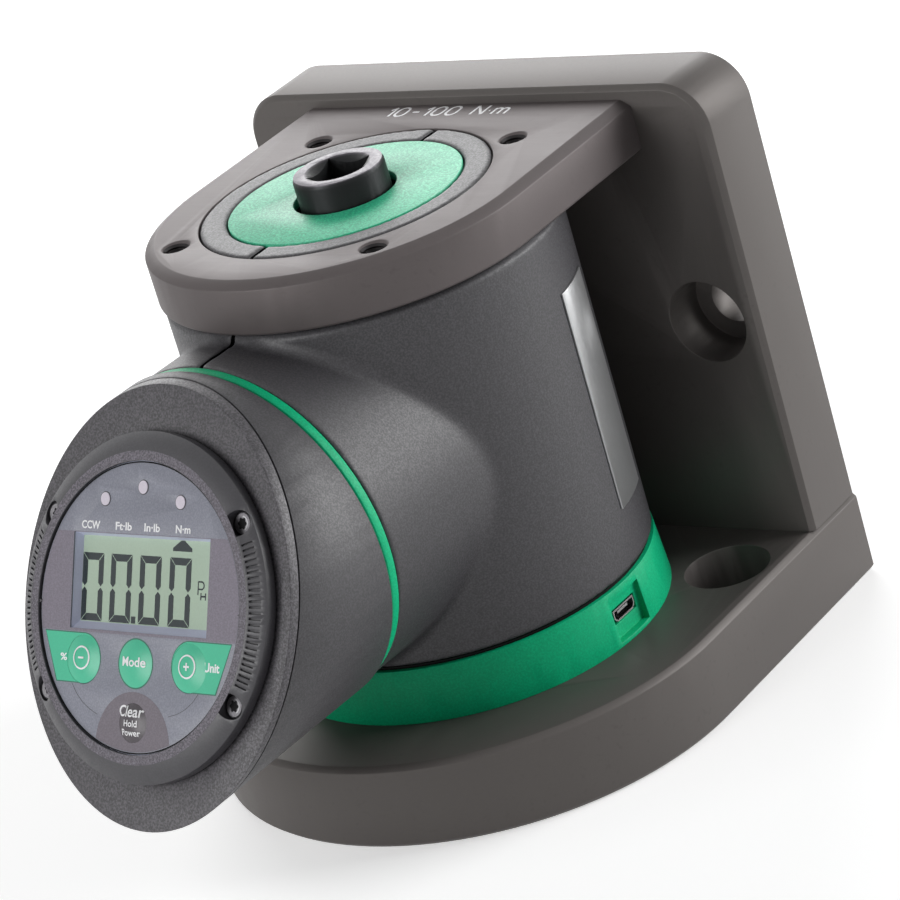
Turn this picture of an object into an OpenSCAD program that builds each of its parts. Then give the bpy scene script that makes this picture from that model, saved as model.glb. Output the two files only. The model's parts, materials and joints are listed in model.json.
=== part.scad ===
/* [Bracket] */
// Width of the base plate and the back plate
bracket_w = 117; // [112:0.5:130]
// Thickness of the base plate
base_t = 18.5; // [17:0.5:20]
// Thickness of the back plate
back_t = 17.8; // [16:0.2:24]
// Height of the back plate's top edge above the ground
bracket_h = 118.7; // [118:0.1:130]
// Gap between the housing and the back plate's front face
throat_gap = 1.4; // [1:0.1:9]
// Radius of the back plate's two upper corners
corner_r = 9.8; // [4:0.2:16]
// Height of the top plate's upper face above the ground
top_face = 115.9; // [115:0.1:117]
// Thickness of the top plate
top_t = 11; // [10:0.5:12]
// Distance that the top plate's round front stands out past the housing
top_out = 0.7; // [0:0.1:2]
// Width of the top plate's rim round the bore that the collar turns in
top_rim = 11.4; // [10.8:0.1:13]
// Chamfer of the base plate and the back plate
edge_chamfer = 1.1; // [0.5:0.1:2]
// Width of the top plate's chamfer, seen from above
top_chamfer_w = 2.3; // [1:0.1:3]
// Height of the top plate's chamfer
top_chamfer_h = 1.4; // [0.6:0.1:2.5]

/* [Fixing holes] */
// Through hole of each fixing bolt
fix_d = 10.5; // [8:0.5:12]
// Counterbore of each fixing bolt
fix_head_d = 18; // [15:0.5:20]
// Depth of each counterbore
fix_head_depth = 10.8; // [8:0.2:13]
// Distance between the two fixing holes of the back plate
back_fix_span = 92.2; // [88:0.2:95]
// Height of the back plate's fixing holes above the ground
back_fix_z = 66.6; // [50:0.2:80]
// Distance between the two fixing holes of the base plate
base_fix_span = 92.8; // [90:0.2:95]
// Distance of the base plate's fixing holes behind the tower axis
base_fix_y = 26.9; // [22:0.1:30]
// Distance of the four tapped holes from the rim's outer edge
tap_in = 6.6; // [6:0.1:7]
// Core diameter of the tapped holes
tap_d = 5; // [4.2:0.1:5.4]
// Mouth of each tapped hole
tap_mouth_d = 6.2; // [5.6:0.1:6.6]

/* [Transducer] */
// Gap between the mounting flange and the bosses of the base ring
flange_gap = 0.5; // [0.3:0.1:2]
// Thickness of the mounting flange
flange_t = 9; // [8:0.5:10]
// Distance of the flange screws from the flange's edge
flange_screw_in = 6; // [5.5:0.1:7]
// Diameter of the measuring shaft where the gauges sit
gauge_d = 18; // [14:0.5:20]
// Diameter of the shaft's shoulders
shoulder_d = 26; // [22:0.5:27]
// Diameter of the drive head
drive_d = 18.8; // [17:0.2:20]
// Side of the female square
square_w = 9.6; // [9.53:0.01:9.7]
// Depth of the female square
square_depth = 14; // [11:0.5:16]
// Diameter of the countersink at the square's mouth
countersink_d = 13.6; // [13:0.1:14]
// Height of the drive head above the top plate
drive_rise = 5.5; // [3:0.1:8]
// Turn of the square seen from above
square_turn = 6.4; // [0:0.1:45]

/* [Housing] */
// Outer radius of the housing
housing_r = 40.9; // [40.4:0.1:48]
// Wall of both half shells
shell_t = 2.6; // [2:0.1:3]
// Outer radius of the neck
neck_r = 36; // [35:0.1:36.2]
// Height of the neck's axis above the ground
neck_z = 67; // [67:0.1:68]
// Distance from the housing's outside to the end of the neck
neck_out = 9.9; // [9:0.1:12]
// Width of the collar's rim round the cover disc
collar_rim = 5.85; // [5:0.05:7]
// Thickness of the cover disc
disc_t = 2; // [1.5:0.1:3]
// Gap between the cover disc and the drive head
disc_gap = 1.2; // [0.5:0.1:3]
// Height of the base ring above the base plate
ring_h = 11.65; // [11:0.05:12]
// Distance that the base ring's foot stands out past the housing
ring_foot_out = 1.05; // [0.3:0.05:1.3]
// Distance that the base ring's top stands out past the housing
ring_top_out = 0.2; // [0:0.1:0.6]
// Wall of the base ring
ring_t = 2.8; // [2.4:0.1:3]

/* [Head] */
// Outer radius of the swivel head
head_r = 36.7; // [36.2:0.1:37.5]
// Wall of the head shell
head_t = 2.4; // [2:0.1:2.5]
// Thickness of the ring between the neck and the head
neck_ring_t = 3; // [2:0.1:4]
// Distance from the neck's end to the middle of the sloping face
head_len = 29.7; // [29.2:0.1:33]
// Slope of the face
face_tilt = 30; // [26:0.5:31]
// Thickness of the collar plate
collar_t = 2.5; // [2:0.1:3]

/* [Display] */
// Outer radius of the turning display
puck_r = 33.4; // [33:0.1:33.6]
// Height of the bezel's flat rim above the collar
rim_h = 4.4; // [4:0.1:5]
// Outer radius of the bezel's flat rim
rim_r = 29.8; // [29.2:0.1:30.2]
// Height of the bezel's shoulder above the collar
bezel_shoulder_h = 2.65; // [2.3:0.05:3]
// Radius of the printed film
film_r = 27.5; // [27:0.1:27.7]
// Width of the display window
window_w = 37.7; // [34:0.1:38]
// Height of the display window
window_h = 18.4; // [16:0.1:18.6]
// Radius of the three keys in the row
key_r = 4.6; // [4:0.1:4.7]
// Radius of the lower key
clear_r = 3.75; // [3.2:0.05:3.9]
// Travel of the keys
key_travel = 0.5; // [0.3:0.1:0.5]
// Grip slots on each side of the bezel
grip_slots = 26; // [10:2:28]

/* [Pose] */
// Turn of the housing to the left of straight ahead
neck_turn = 4; // [-80:1:80]
// Turn of the head on the neck
head_turn = 4.4; // [-5:0.1:90]
// Turn of the display in the head
display_turn = -1.8; // [-80:0.1:80]

/* [Hidden] */
$fn = 96;
over = 0.5;
run_gap = 0.3;
fit_gap = 0.08;
face_gap = 0.15;

plate_half = bracket_w / 2;
throat = housing_r + throat_gap;
back_face = throat + back_t;
top_low = top_face - top_t;
top_r = housing_r + top_out;
bore_d = 2 * (top_r - top_rim);
tap_place = top_r - tap_in;
tap_sink = (tap_mouth_d - tap_d) / 2;

// Screws: shank, head diameter, head height and thread length
m8 = [8, 13, 8, 16];
m6 = [6, 10, 6, 10];
m5 = [5, 8.5, 5, 10];
m3 = [3, 5.5, 3, 7];
m25 = [2.5, 4.4, 1.5, 3.5];
head_room = 0.4;
socket_share = 0.5;
socket_deep_share = 0.5;

join_x = 33;
join_head_in = 9;
rise_x = 40;
rise_head_in = 9;
dowel_d = 6;
dowel_half = 10;
dowel_x = 20;
plate_mid = throat + back_t / 2;

ring_foot_r = housing_r + ring_foot_out;
ring_top_r = housing_r + ring_top_out;
ring_in = ring_top_r - ring_t;
ring_boss_d = 7;
ring_boss_bite = 0.2;
ring_boss_place = ring_in - ring_boss_d / 2 + ring_boss_bite;
ring_boss_h = 9;
ring_boss_turns = [60, 180, 300];
ring_head_in = 10.5;

flange_top = base_t + flange_t;
flange_r = ring_boss_place - ring_boss_d / 2 - flange_gap;
flange_screw_r = flange_r - flange_screw_in;
flange_screws = 6;
flange_head_in = 6;
hub_r = flange_screw_r - flange_screw_in;
hub_h = 6;
hub_top = flange_top + hub_h;
gauge_low = 48;
gauge_high = 80;
shoulder_drop = 8;
shoulder_top = top_face - shoulder_drop;
drive_top = top_face + drive_rise;
drive_chamfer_w = 0.3;
drive_chamfer_h = 0.9;
countersink_slope = 60;
patch = [0.3, 5, 9];
patches = 4;

board_t = 1.6;
board_in = 3.5;
board_gap = 1;
board_rise = 2.5;
gauge_board_r = flange_r - board_in;
gauge_board_hole_r = hub_r + board_gap;
gauge_board_z = hub_top + board_rise;
spacer_d = 5;
spacer_place = (gauge_board_r + gauge_board_hole_r) / 2;
spacer_turns = [30, 150, 270];
chip = [5, 6, 1.4];
chip_turns = [0, 60, 90, 180, 210, 240, 330];
socket_turn = 120;
socket_size = [5, 9, 3.2];

ring_top = base_t + ring_h;
port_turn = -1.5;
port_rise = 5.6;
port_z = base_t + port_rise;
port_w = 7.2;
port_h = 2.7;
port_corner = 0.9;
port_wall = 0.35;
port_len = 5.4;
port_room = 0.3;
port_tongue_h = 0.6;
pocket_w = 10.4;
pocket_h = 8.8;
pocket_foot = 0.9;
pocket_low = base_t + pocket_foot;
pocket_deep = 1.1;
pocket_floor = ring_top_r - pocket_deep;
port_board_w = 13;
port_board_in = flange_r + run_gap;
port_board_t = 1.2;
port_shelf = [4, 3];
glide_over = 0.7;
glide_in = ring_in - glide_over;
glide_out = housing_r - glide_over;
glide_t = 0.6;

housing_low = ring_top + glide_t + run_gap;
housing_top = top_low - run_gap;
housing_edge = 1.2;
housing_in = housing_r - shell_t;
neck_in = neck_r - shell_t;
collar_r = bore_d / 2 - run_gap;
collar_rise = 0.1;
collar_top = top_face + collar_rise;
collar_wall = 3;
disc_r = collar_r - collar_rim;
disc_hole_r = drive_d / 2 + disc_gap;
disc_seat = collar_top - disc_t;
disc_land = 2;
neck_end = housing_r + neck_out;
boss_d = 8;
boss_gap = 0.5;
rear_boss = housing_in - boss_d / 2 - boss_gap;
rear_boss_low = 19;
rear_boss_high = 26;
neck_boss_in = 9.8;
neck_boss = neck_end - neck_boss_in;
neck_boss_deep = 6.4;
neck_boss_z = neck_in - neck_boss_deep;
boss_places = [
    [-rear_boss, -rear_boss_low], [-rear_boss, rear_boss_high],
    [neck_boss, -neck_boss_z], [neck_boss, neck_boss_z]
];
boss_head_in = 6;
seam_w = 1;
seam_deep = 0.9;
swivel_r = 14;
swivel_wall = 3.4;
ring_peg_d = 4;
ring_peg_place = 25;
ring_peg_turns = [45, 135, 225, 315];
ring_peg_len = 2.4;
ring_step = 0.3;
ring_step_in = 1.4;
ring_step_r = neck_r - ring_step_in;
neck_ring_chamfer = 0.8;
label_t = 0.35;
label_w = 13.2;
label_low = 42.9;
label_high = 90.6;
label_turn = 22;
holder_wall = 1.4;
holder_gap = 0.3;
holder_rib = 1.2;
holder_clear = 3.8;
cell_gap = 0.6;
cell_d = rear_boss - boss_d / 2 - shoulder_d / 2 - holder_wall - 2 * cell_gap;
cell_len = 50;
cell_tip_d = 5.5;
cell_tip_h = 1;
cell_rise = 4;
cell_x = cell_d / 2 + 2 * cell_gap;
cell_y = shoulder_d / 2 + cell_gap + cell_d / 2;
cell_back = cell_y + cell_d / 2;
cell_low = neck_z - cell_len / 2 + cell_rise;
holder_half = sqrt(pow(housing_in, 2) - pow(cell_back + holder_wall, 2)) - holder_clear;
holder_deep = cell_x + cell_d / 2 + cell_gap;

face_s = neck_end + head_len;
ring_back = neck_end + ring_step;
ring_front = neck_end + neck_ring_t;
head_back = ring_front + run_gap;
head_in = head_r - head_t;
head_back_t = 2.6;
back_front = head_back + head_back_t;
back_screw_place = 30.6;
back_screw_turns = [0, 180, 236, 304];
back_screw_boss_d = 8;
back_screw_boss_h = 6;
back_seat_in = 1.8;
nut_r = 18.5;
nut_t = 3;
washer_r = 17.5;
washer_t = 0.4;
washer_front = neck_end - shell_t - face_gap;
washer_gap = 0.05;
nut_front = washer_front - washer_t - washer_gap;
spigot_over = 1;
spigot_end = nut_front - nut_t - spigot_over;
spigot_r = swivel_r - fit_gap;
spigot_in = spigot_r - swivel_wall;
parting = 0.3;
parting_in = 0.5;

case_in = 1.2;
case_r = puck_r - case_in;
case_low = -7;
case_floor = 1.8;
case_wall = 1.8;
case_top = 0.5;
seat_gap = 0.4;
seat_top = case_low - seat_gap;
seat_t = 2;
display_glide_t = 0.25;
display_glide_in = 24;
display_glide_out = 30;
collar_hole_r = case_r + seat_gap;
turn_r = 12;
turn_wall = 2.8;
turn_nut_r = 15.5;
turn_nut_t = 2.6;
turn_nut_top = seat_top - seat_t - face_gap;
turn_over = 0.4;
turn_end = turn_nut_top - turn_nut_t - turn_over;

film_drop = 0.5;
film_top = rim_h - film_drop;
film_t = 0.3;
panel_top = film_top - film_t;
panel_t = 2.5;
panel_low = panel_top - panel_t;
panel_gap = 0.25;
panel_r = rim_r - panel_gap;
bezel_in = film_r + panel_gap;
window_y = 4.45;
window_deep = 1.9;
glass_top = film_top - window_deep;
sill_side = 0.75;
sill_top = 0.55;
sill_low = 1.4;
lcd_gap = 0.2;
lcd_t = 1.6;
lcd_wall = 1.4;
board_top = -2;
main_board_r = 27.5;
post_d = 5;
post_places = [[22, 8], [-22, 8], [18, -17], [-18, -17]];
cone_slope = atan2(rim_h - bezel_shoulder_h, puck_r - rim_r);
grip_pitch = 2;
grip_w = 0.4;
grip_deep = 0.5;
grip_start = 0.45;
grip_len = 2.3;
screw_places = [[25.65, 16.85], [-25.65, 16.85], [-25.65, -16.85], [25.65, -16.85]];
screw_pad_d = 5.6;
screw_seat = 1;
screw_well_d = 5;
pillar_d = 4.6;
led_place = 22.7;
led_turns = [-27.2, 0, 27.2];
led_r = 1.25;
led_chip = [2.6, 2, 1.6];
led_rise = 0.15;
key_row_y = -10.55;
side_key_x = 14.6;
clear_key_y = -21.75;
key_gap = 0.1;
key_lip = 0.6;
key_lip_t = 0.4;
key_dome = 0.8;
stem_r = 1.6;
switch_size = [4.2, 4.2, 0.8];
plunger_r = 1;
plunger_h = 0.3;
main_chip = [8, 6, 1.2];
main_chip_places = [[-8, 18], [8, 18], [-20.5, -3.5], [20.5, -3.5]];
index_w = 1.2;
index_deep = 0.8;

// Housing frame: Z up, the neck along -Y
module on_housing() {
    rotate([0, 0, -neck_turn]) children();
}

// Neck frame: X to the right, Y up, Z outwards along the neck
module on_neck() {
    on_housing() translate([0, 0, neck_z]) rotate([90, 0, 0]) children();
}

module on_head() {
    on_neck() rotate([0, 0, head_turn]) children();
}

// Sloping face of the head: Z out of the face
module tilted() {
    translate([0, 0, face_s]) rotate([-face_tilt, 0, 0]) children();
}

module on_face() {
    on_head() tilted() children();
}

module on_display() {
    on_face() rotate([0, 0, display_turn]) children();
}

module tube(outer, inner, low, high) {
    translate([0, 0, low]) difference() {
        cylinder(r = outer, h = high - low);
        translate([0, 0, -over]) cylinder(r = inner, h = high - low + 2 * over);
    }
}

module at_turns(r, turns) {
    for (a = turns) rotate([0, 0, a]) translate([r, 0, 0]) children();
}

// Cap screw that points down, with its head's seat at the origin
module cap_screw(size, grip) {
    difference() {
        union() {
            cylinder(d = size[1], h = size[2]);
            translate([0, 0, -grip - size[3]]) cylinder(d = size[0], h = grip + size[3] + over);
        }
        translate([0, 0, size[2] * (1 - socket_deep_share)])
            cylinder(d = size[1] * socket_share, h = size[2], $fn = 6);
    }
}

// Room for a cap screw, with its head's seat at the origin
module cap_room(size, grip, mouth) {
    cylinder(d = size[1] + 2 * head_room, h = mouth + over);
    translate([0, 0, -grip - size[3] - over])
        cylinder(d = size[0] + 2 * fit_gap, h = grip + size[3] + 2 * over);
}

// Section through a plate's edge: radius, height, upper and lower chamfer
module edge_section(r, low, high, upper_w, upper_h, lower) {
    polygon([
        [0, low], [r - lower, low], [r, low + lower], [r, high - upper_h],
        [r - upper_w, high], [0, high]
    ]);
}

// Plate with a round front and straight sides
module round_front(r, back, low, high, upper_w, upper_h, lower) {
    rotate_extrude($fn = 180) edge_section(r, low, high, upper_w, upper_h, lower);
    translate([0, back, 0]) rotate([90, 0, 0]) linear_extrude(back) {
        edge_section(r, low, high, upper_w, upper_h, lower);
        mirror([1, 0]) edge_section(r, low, high, upper_w, upper_h, lower);
    }
}

// Places of the screws that hold the back plate, seen from below
module rise_places() {
    for (x = [-rise_x, 0, rise_x])
        translate([x, plate_mid, rise_head_in]) rotate([180, 0, 0]) children();
}

// Places of the screws that hold the top plate, seen from the rear
module join_places() {
    for (x = [-join_x, join_x])
        translate([x, back_face - join_head_in, top_low + top_t / 2]) rotate([-90, 0, 0]) children();
}

module dowel_places() {
    for (x = [-dowel_x, dowel_x])
        translate([x, plate_mid, base_t - dowel_half]) children();
}

module base_plate() {
    c = edge_chamfer;
    color([0.30, 0.29, 0.29]) difference() {
        round_front(plate_half, back_face, 0, base_t, c, c, c);
        for (x = [-base_fix_span / 2, base_fix_span / 2]) translate([x, base_fix_y, 0]) {
            translate([0, 0, -over]) cylinder(d = fix_d, h = base_t + 2 * over);
            translate([0, 0, base_t - fix_head_depth]) cylinder(d = fix_head_d, h = base_t);
        }
        rise_places() cap_room(m8, base_t - rise_head_in, rise_head_in);
        dowel_places() cylinder(d = dowel_d + 2 * fit_gap, h = dowel_half + over);
        at_turns(flange_screw_r, [0:360 / flange_screws:359])
            translate([0, 0, base_t - m5[3] - over])
                cylinder(d = m5[0] + 2 * fit_gap, h = m5[3] + 2 * over);
        at_turns(ring_boss_place, ring_boss_turns) translate([0, 0, ring_head_in])
            rotate([180, 0, 0]) cap_room(m3, base_t - ring_head_in, ring_head_in);
    }
}

module back_plate_blank() {
    c = edge_chamfer;
    t = back_t;
    side = plate_half;
    linear_extrude(bracket_h - corner_r) polygon([
        [-side, c], [c - side, 0], [side - c, 0], [side, c],
        [side, t - c], [side - c, t], [c - side, t], [-side, t - c]
    ]);
    translate([corner_r - side, 0, 0]) rotate([0, 0, 90]) rotate([90, 0, 0])
        linear_extrude(2 * (side - corner_r)) polygon([
            [0, 0], [t, 0], [t, bracket_h - c], [t - c, bracket_h], [c, bracket_h], [0, bracket_h - c]
        ]);
    for (x = [corner_r - side, side - corner_r])
        translate([x, t, bracket_h - corner_r]) rotate([90, 0, 0]) rotate_extrude()
            edge_section(corner_r, 0, t, c, c, c);
}

module back_plate() {
    color([0.31, 0.30, 0.30]) difference() {
        intersection() {
            translate([0, throat, 0]) back_plate_blank();
            translate([-bracket_w, 0, base_t]) cube([2 * bracket_w, 2 * back_face, bracket_h]);
        }
        for (x = [-back_fix_span / 2, back_fix_span / 2])
            translate([x, throat, back_fix_z]) rotate([-90, 0, 0]) {
                translate([0, 0, -over]) cylinder(d = fix_d, h = back_t + 2 * over);
                translate([0, 0, -over]) cylinder(d = fix_head_d, h = fix_head_depth + over);
            }
        rise_places() cap_room(m8, base_t - rise_head_in, 0);
        join_places() cap_room(m6, back_t - join_head_in, join_head_in);
        dowel_places() cylinder(d = dowel_d + 2 * fit_gap, h = 2 * dowel_half + over);
    }
}

module top_plate() {
    color([0.38, 0.36, 0.37]) difference() {
        round_front(top_r, throat, top_low, top_face, top_chamfer_w, top_chamfer_h, over);
        translate([0, 0, top_low - over]) cylinder(d = bore_d, h = top_t + 2 * over, $fn = 180);
        at_turns(tap_place, [45:90:315]) translate([0, 0, top_low - over]) {
            cylinder(d = tap_d, h = top_t + 2 * over);
            translate([0, 0, top_t + over - tap_sink])
                cylinder(d1 = tap_d, d2 = tap_mouth_d + 2 * over, h = tap_sink + over);
        }
        join_places() cap_room(m6, back_t - join_head_in, 0);
    }
}

module top_plate_screws() {
    color([0.15, 0.15, 0.16]) join_places() cap_screw(m6, back_t - join_head_in);
}

module back_plate_screws() {
    color([0.15, 0.15, 0.16]) rise_places() cap_screw(m8, base_t - rise_head_in);
}

module dowel_pins() {
    color([0.62, 0.62, 0.64]) dowel_places() cylinder(d = dowel_d, h = 2 * dowel_half);
}

module transducer() {
    slope = (countersink_d / 2 + over * tan(countersink_slope)) / tan(countersink_slope);
    color([0.33, 0.33, 0.34]) difference() {
        union() {
            translate([0, 0, base_t]) cylinder(r = flange_r, h = flange_t);
            translate([0, 0, flange_top]) cylinder(r = hub_r, h = hub_h);
            translate([0, 0, base_t]) cylinder(d = shoulder_d, h = gauge_low - base_t);
            translate([0, 0, base_t]) cylinder(d = gauge_d, h = shoulder_top - base_t);
            translate([0, 0, gauge_high]) cylinder(d = shoulder_d, h = shoulder_top - gauge_high);
            translate([0, 0, gauge_high]) cylinder(d = drive_d, h = drive_top - drive_chamfer_h - gauge_high);
            translate([0, 0, drive_top - drive_chamfer_h])
                cylinder(d1 = drive_d, d2 = drive_d - 2 * drive_chamfer_w, h = drive_chamfer_h);
        }
        translate([0, 0, drive_top + over - slope])
            cylinder(r1 = 0, r2 = slope * tan(countersink_slope), h = slope);
        rotate([0, 0, square_turn]) translate([-square_w / 2, -square_w / 2, drive_top - square_depth])
            cube([square_w, square_w, square_depth + over]);
        at_turns(flange_screw_r, [0:360 / flange_screws:359])
            translate([0, 0, flange_top - flange_head_in]) cap_room(m5, 0, flange_head_in);
        at_turns(spacer_place, spacer_turns) translate([0, 0, flange_top - m25[3] - over])
            cylinder(d = m25[0] + 2 * fit_gap, h = m25[3] + 2 * over);
    }
}

module transducer_screws() {
    color([0.15, 0.15, 0.16]) at_turns(flange_screw_r, [0:360 / flange_screws:359])
        translate([0, 0, flange_top - flange_head_in]) cap_screw(m5, 0);
}

module strain_gauges() {
    color([0.80, 0.55, 0.25]) at_turns(gauge_d / 2, [0:360 / patches:359])
        translate([-fit_gap, 0, (gauge_low + gauge_high) / 2 - patch[2] / 2])
            translate([2 * fit_gap, -patch[1] / 2, 0]) cube(patch);
}

module gauge_board() {
    color([0.10, 0.35, 0.20]) difference() {
        tube(gauge_board_r, gauge_board_hole_r, gauge_board_z, gauge_board_z + board_t);
        at_turns(spacer_place, spacer_turns) translate([0, 0, gauge_board_z - over])
            cylinder(d = m25[0] + 2 * fit_gap, h = board_t + 2 * over);
    }
}

module gauge_board_parts() {
    color([0.10, 0.10, 0.11]) translate([0, 0, gauge_board_z + board_t]) {
        at_turns(spacer_place - chip[0] / 2, chip_turns) translate([0, -chip[1] / 2, 0]) cube(chip);
        at_turns(spacer_place - socket_size[0] / 2, [socket_turn])
            translate([0, -socket_size[1] / 2, 0]) cube(socket_size);
    }
}

module board_spacers() {
    color([0.70, 0.60, 0.30]) at_turns(spacer_place, spacer_turns)
        tube(spacer_d / 2, m25[0] / 2 + fit_gap, flange_top, gauge_board_z);
}

module board_screws() {
    grip = gauge_board_z + board_t - flange_top;
    color([0.62, 0.62, 0.64]) at_turns(spacer_place, spacer_turns)
        translate([0, 0, gauge_board_z + board_t]) cap_screw(m25, grip);
}

module base_ring() {
    color([0.00, 0.62, 0.44]) difference() {
        translate([0, 0, base_t]) cylinder(r1 = ring_foot_r, r2 = ring_top_r, h = ring_h, $fn = 180);
        difference() {
            translate([0, 0, base_t - over]) cylinder(r = ring_in, h = ring_h + 2 * over);
            at_turns(ring_boss_place, ring_boss_turns) translate([0, 0, base_t - over]) {
                cylinder(d = ring_boss_d, h = ring_boss_h + over);
                translate([0, -ring_boss_d / 2, 0])
                    cube([ring_top_r - ring_boss_place, ring_boss_d, ring_boss_h + over]);
            }
            rotate([0, 0, port_turn]) for (side = [-1, 1])
                translate([pocket_floor - ring_t - port_shelf[0], side * port_board_w / 2 - port_shelf[1] / 2, base_t])
                    cube([2 * port_shelf[0], port_shelf[1], port_z - port_h / 2 - port_board_t - base_t]);
        }
        at_turns(ring_boss_place, ring_boss_turns) translate([0, 0, base_t - over])
            cylinder(d = m3[0] + 2 * fit_gap, h = m3[3] + 2 * over);
        rotate([0, 0, port_turn]) {
            translate([pocket_floor, -pocket_w / 2, pocket_low])
                cube([ring_foot_r, pocket_w, pocket_h]);
            translate([0, -port_w / 2 - port_room, port_z - port_h / 2 - port_room])
                cube([ring_foot_r, port_w + 2 * port_room, port_h + 2 * port_room]);
        }
    }
}

module base_ring_screws() {
    color([0.62, 0.62, 0.64]) at_turns(ring_boss_place, ring_boss_turns)
        translate([0, 0, ring_head_in]) rotate([180, 0, 0]) cap_screw(m3, base_t - ring_head_in);
}

// Mouth of the socket with its two cut corners below, made smaller by wall
module port_mouth(wall) {
    w = port_w / 2 - wall;
    h = port_h / 2 - wall;
    polygon([
        [-w, h], [-w, port_corner - port_h / 2], [port_corner - port_w / 2, -h],
        [port_w / 2 - port_corner, -h], [w, port_corner - port_h / 2], [w, h]
    ]);
}

module usb_socket() {
    color([0.70, 0.70, 0.72]) rotate([0, 0, port_turn])
        translate([pocket_floor - port_len, 0, port_z]) {
            rotate([90, 0, 90]) difference() {
                linear_extrude(port_len) port_mouth(0);
                translate([0, 0, port_wall]) linear_extrude(port_len) port_mouth(port_wall);
            }
            translate([0, -port_w / 4, 0]) cube([port_len - port_wall, port_w / 2, port_tongue_h]);
        }
}

module usb_board() {
    color([0.10, 0.35, 0.20]) rotate([0, 0, port_turn])
        translate([port_board_in, -port_board_w / 2, port_z - port_h / 2 - port_board_t])
            cube([pocket_floor - ring_t - port_board_in, port_board_w, port_board_t]);
}

module glide_ring() {
    color([0.04, 0.04, 0.04]) tube(glide_out, glide_in, ring_top, ring_top + glide_t);
}

// Outside of the whole housing in its own frame, made smaller by inset
module housing_outside(inset) {
    rotate_extrude($fn = 180) polygon([
        [0, housing_low], [housing_r - inset, housing_low],
        [housing_r - inset, housing_top - housing_edge],
        [housing_r - housing_edge - inset, housing_top - inset],
        [collar_r - inset, housing_top - inset], [collar_r - inset, collar_top - inset],
        [0, collar_top - inset]
    ]);
    translate([0, 0, neck_z]) rotate([90, 0, 0]) cylinder(r = neck_r - inset, h = neck_end, $fn = 180);
}

module housing_inside() {
    rotate_extrude() polygon([
        [0, housing_low - over], [housing_in, housing_low - over], [housing_in, housing_top - shell_t],
        [collar_r - collar_wall, housing_top - shell_t], [collar_r - collar_wall, disc_seat - disc_land],
        [disc_r - disc_land, disc_seat - disc_land], [disc_r - disc_land, disc_seat],
        [disc_r + run_gap, disc_seat], [disc_r + run_gap, collar_top + over], [0, collar_top + over]
    ]);
    translate([0, 0, neck_z]) rotate([90, 0, 0]) {
        cylinder(r = neck_in, h = neck_end - shell_t);
        cylinder(r = swivel_r, h = neck_end + over);
        at_turns(ring_peg_place, ring_peg_turns) cylinder(d = ring_peg_d + 2 * fit_gap, h = neck_end + over);
    }
}

// Screw places on the split plane, seen from the left
module boss_places() {
    for (p = boss_places) translate([0, -p[0], neck_z + p[1]]) rotate([0, -90, 0]) children();
}

module half_space(side) {
    translate([side > 0 ? 0 : -2 * neck_end, -2 * neck_end, 0])
        cube([2 * neck_end, 4 * neck_end, 2 * bracket_h]);
}

module half_shell(side) {
    intersection() {
        half_space(side);
        difference() {
            housing_outside(0);
            difference() {
                housing_inside();
                boss_places() translate([0, 0, -housing_r]) cylinder(d = boss_d, h = 2 * housing_r);
                translate([-housing_r, cell_back - holder_rib - holder_gap, cell_low])
                    cube([housing_r - holder_half + holder_rib, holder_rib, cell_len]);
                translate([holder_half - holder_rib, cell_back - holder_rib - holder_gap, cell_low])
                    cube([housing_r - holder_half + holder_rib, holder_rib, cell_len]);
            }
            boss_places() translate([0, 0, boss_head_in]) cap_room(m3, boss_head_in, housing_r);
            intersection() {
                translate([-seam_w / 2, -2 * neck_end, 0]) cube([seam_w, 4 * neck_end, 2 * bracket_h]);
                difference() {
                    housing_outside(-over);
                    housing_outside(seam_deep);
                }
            }
        }
    }
}

module housing_right() {
    color([0.17, 0.17, 0.18]) on_housing() half_shell(1);
}

module housing_left() {
    color([0.17, 0.17, 0.18]) on_housing() half_shell(-1);
}

module housing_screws() {
    color([0.15, 0.15, 0.16]) on_housing() boss_places()
        translate([0, 0, boss_head_in]) cap_screw(m3, boss_head_in);
}

module cover_disc() {
    color([0.00, 0.62, 0.44]) tube(disc_r, disc_hole_r, disc_seat, collar_top);
}

module neck_ring() {
    c = neck_ring_chamfer;
    color([0.00, 0.62, 0.44]) on_neck() {
        rotate_extrude($fn = 180) polygon([
            [swivel_r + run_gap, neck_end], [ring_step_r, neck_end], [ring_step_r, ring_back],
            [neck_r, ring_back], [neck_r, ring_front - c], [neck_r - c, ring_front],
            [swivel_r + run_gap, ring_front]
        ]);
        at_turns(ring_peg_place, ring_peg_turns) translate([0, 0, neck_end - ring_peg_len])
            cylinder(d = ring_peg_d, h = ring_peg_len + over);
    }
}

module label_plate() {
    gap = fit_gap / 2;
    color([0.72, 0.72, 0.72]) on_housing() rotate([0, 0, label_turn]) intersection() {
        tube(housing_r + gap + label_t, housing_r + gap, label_low, label_high);
        translate([0, -label_w / 2, 0]) cube([2 * housing_r, label_w, bracket_h]);
    }
}

module battery_holder() {
    color([0.08, 0.08, 0.09]) on_housing() {
        translate([-holder_half, cell_back, cell_low - holder_wall])
            cube([2 * holder_half, holder_wall, cell_len + cell_tip_h + 2 * holder_wall]);
        for (z = [cell_low - holder_wall, cell_low + cell_len + cell_tip_h])
            translate([-holder_deep, cell_back - cell_d, z])
                cube([2 * holder_deep, cell_d + holder_wall, holder_wall]);
    }
}

module battery_cells() {
    color([0.20, 0.35, 0.55]) on_housing() for (x = [-cell_x, cell_x])
        translate([x, cell_y - fit_gap, cell_low]) {
            cylinder(d = cell_d, h = cell_len);
            translate([0, 0, cell_len]) cylinder(d = cell_tip_d, h = cell_tip_h);
        }
}

// Half space under a height of the sloping face, in the head's frame
module below_face(h) {
    tilted() translate([-2 * head_r, -2 * head_r, h - 2 * face_s])
        cube([4 * head_r, 4 * head_r, 2 * face_s]);
}

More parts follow.
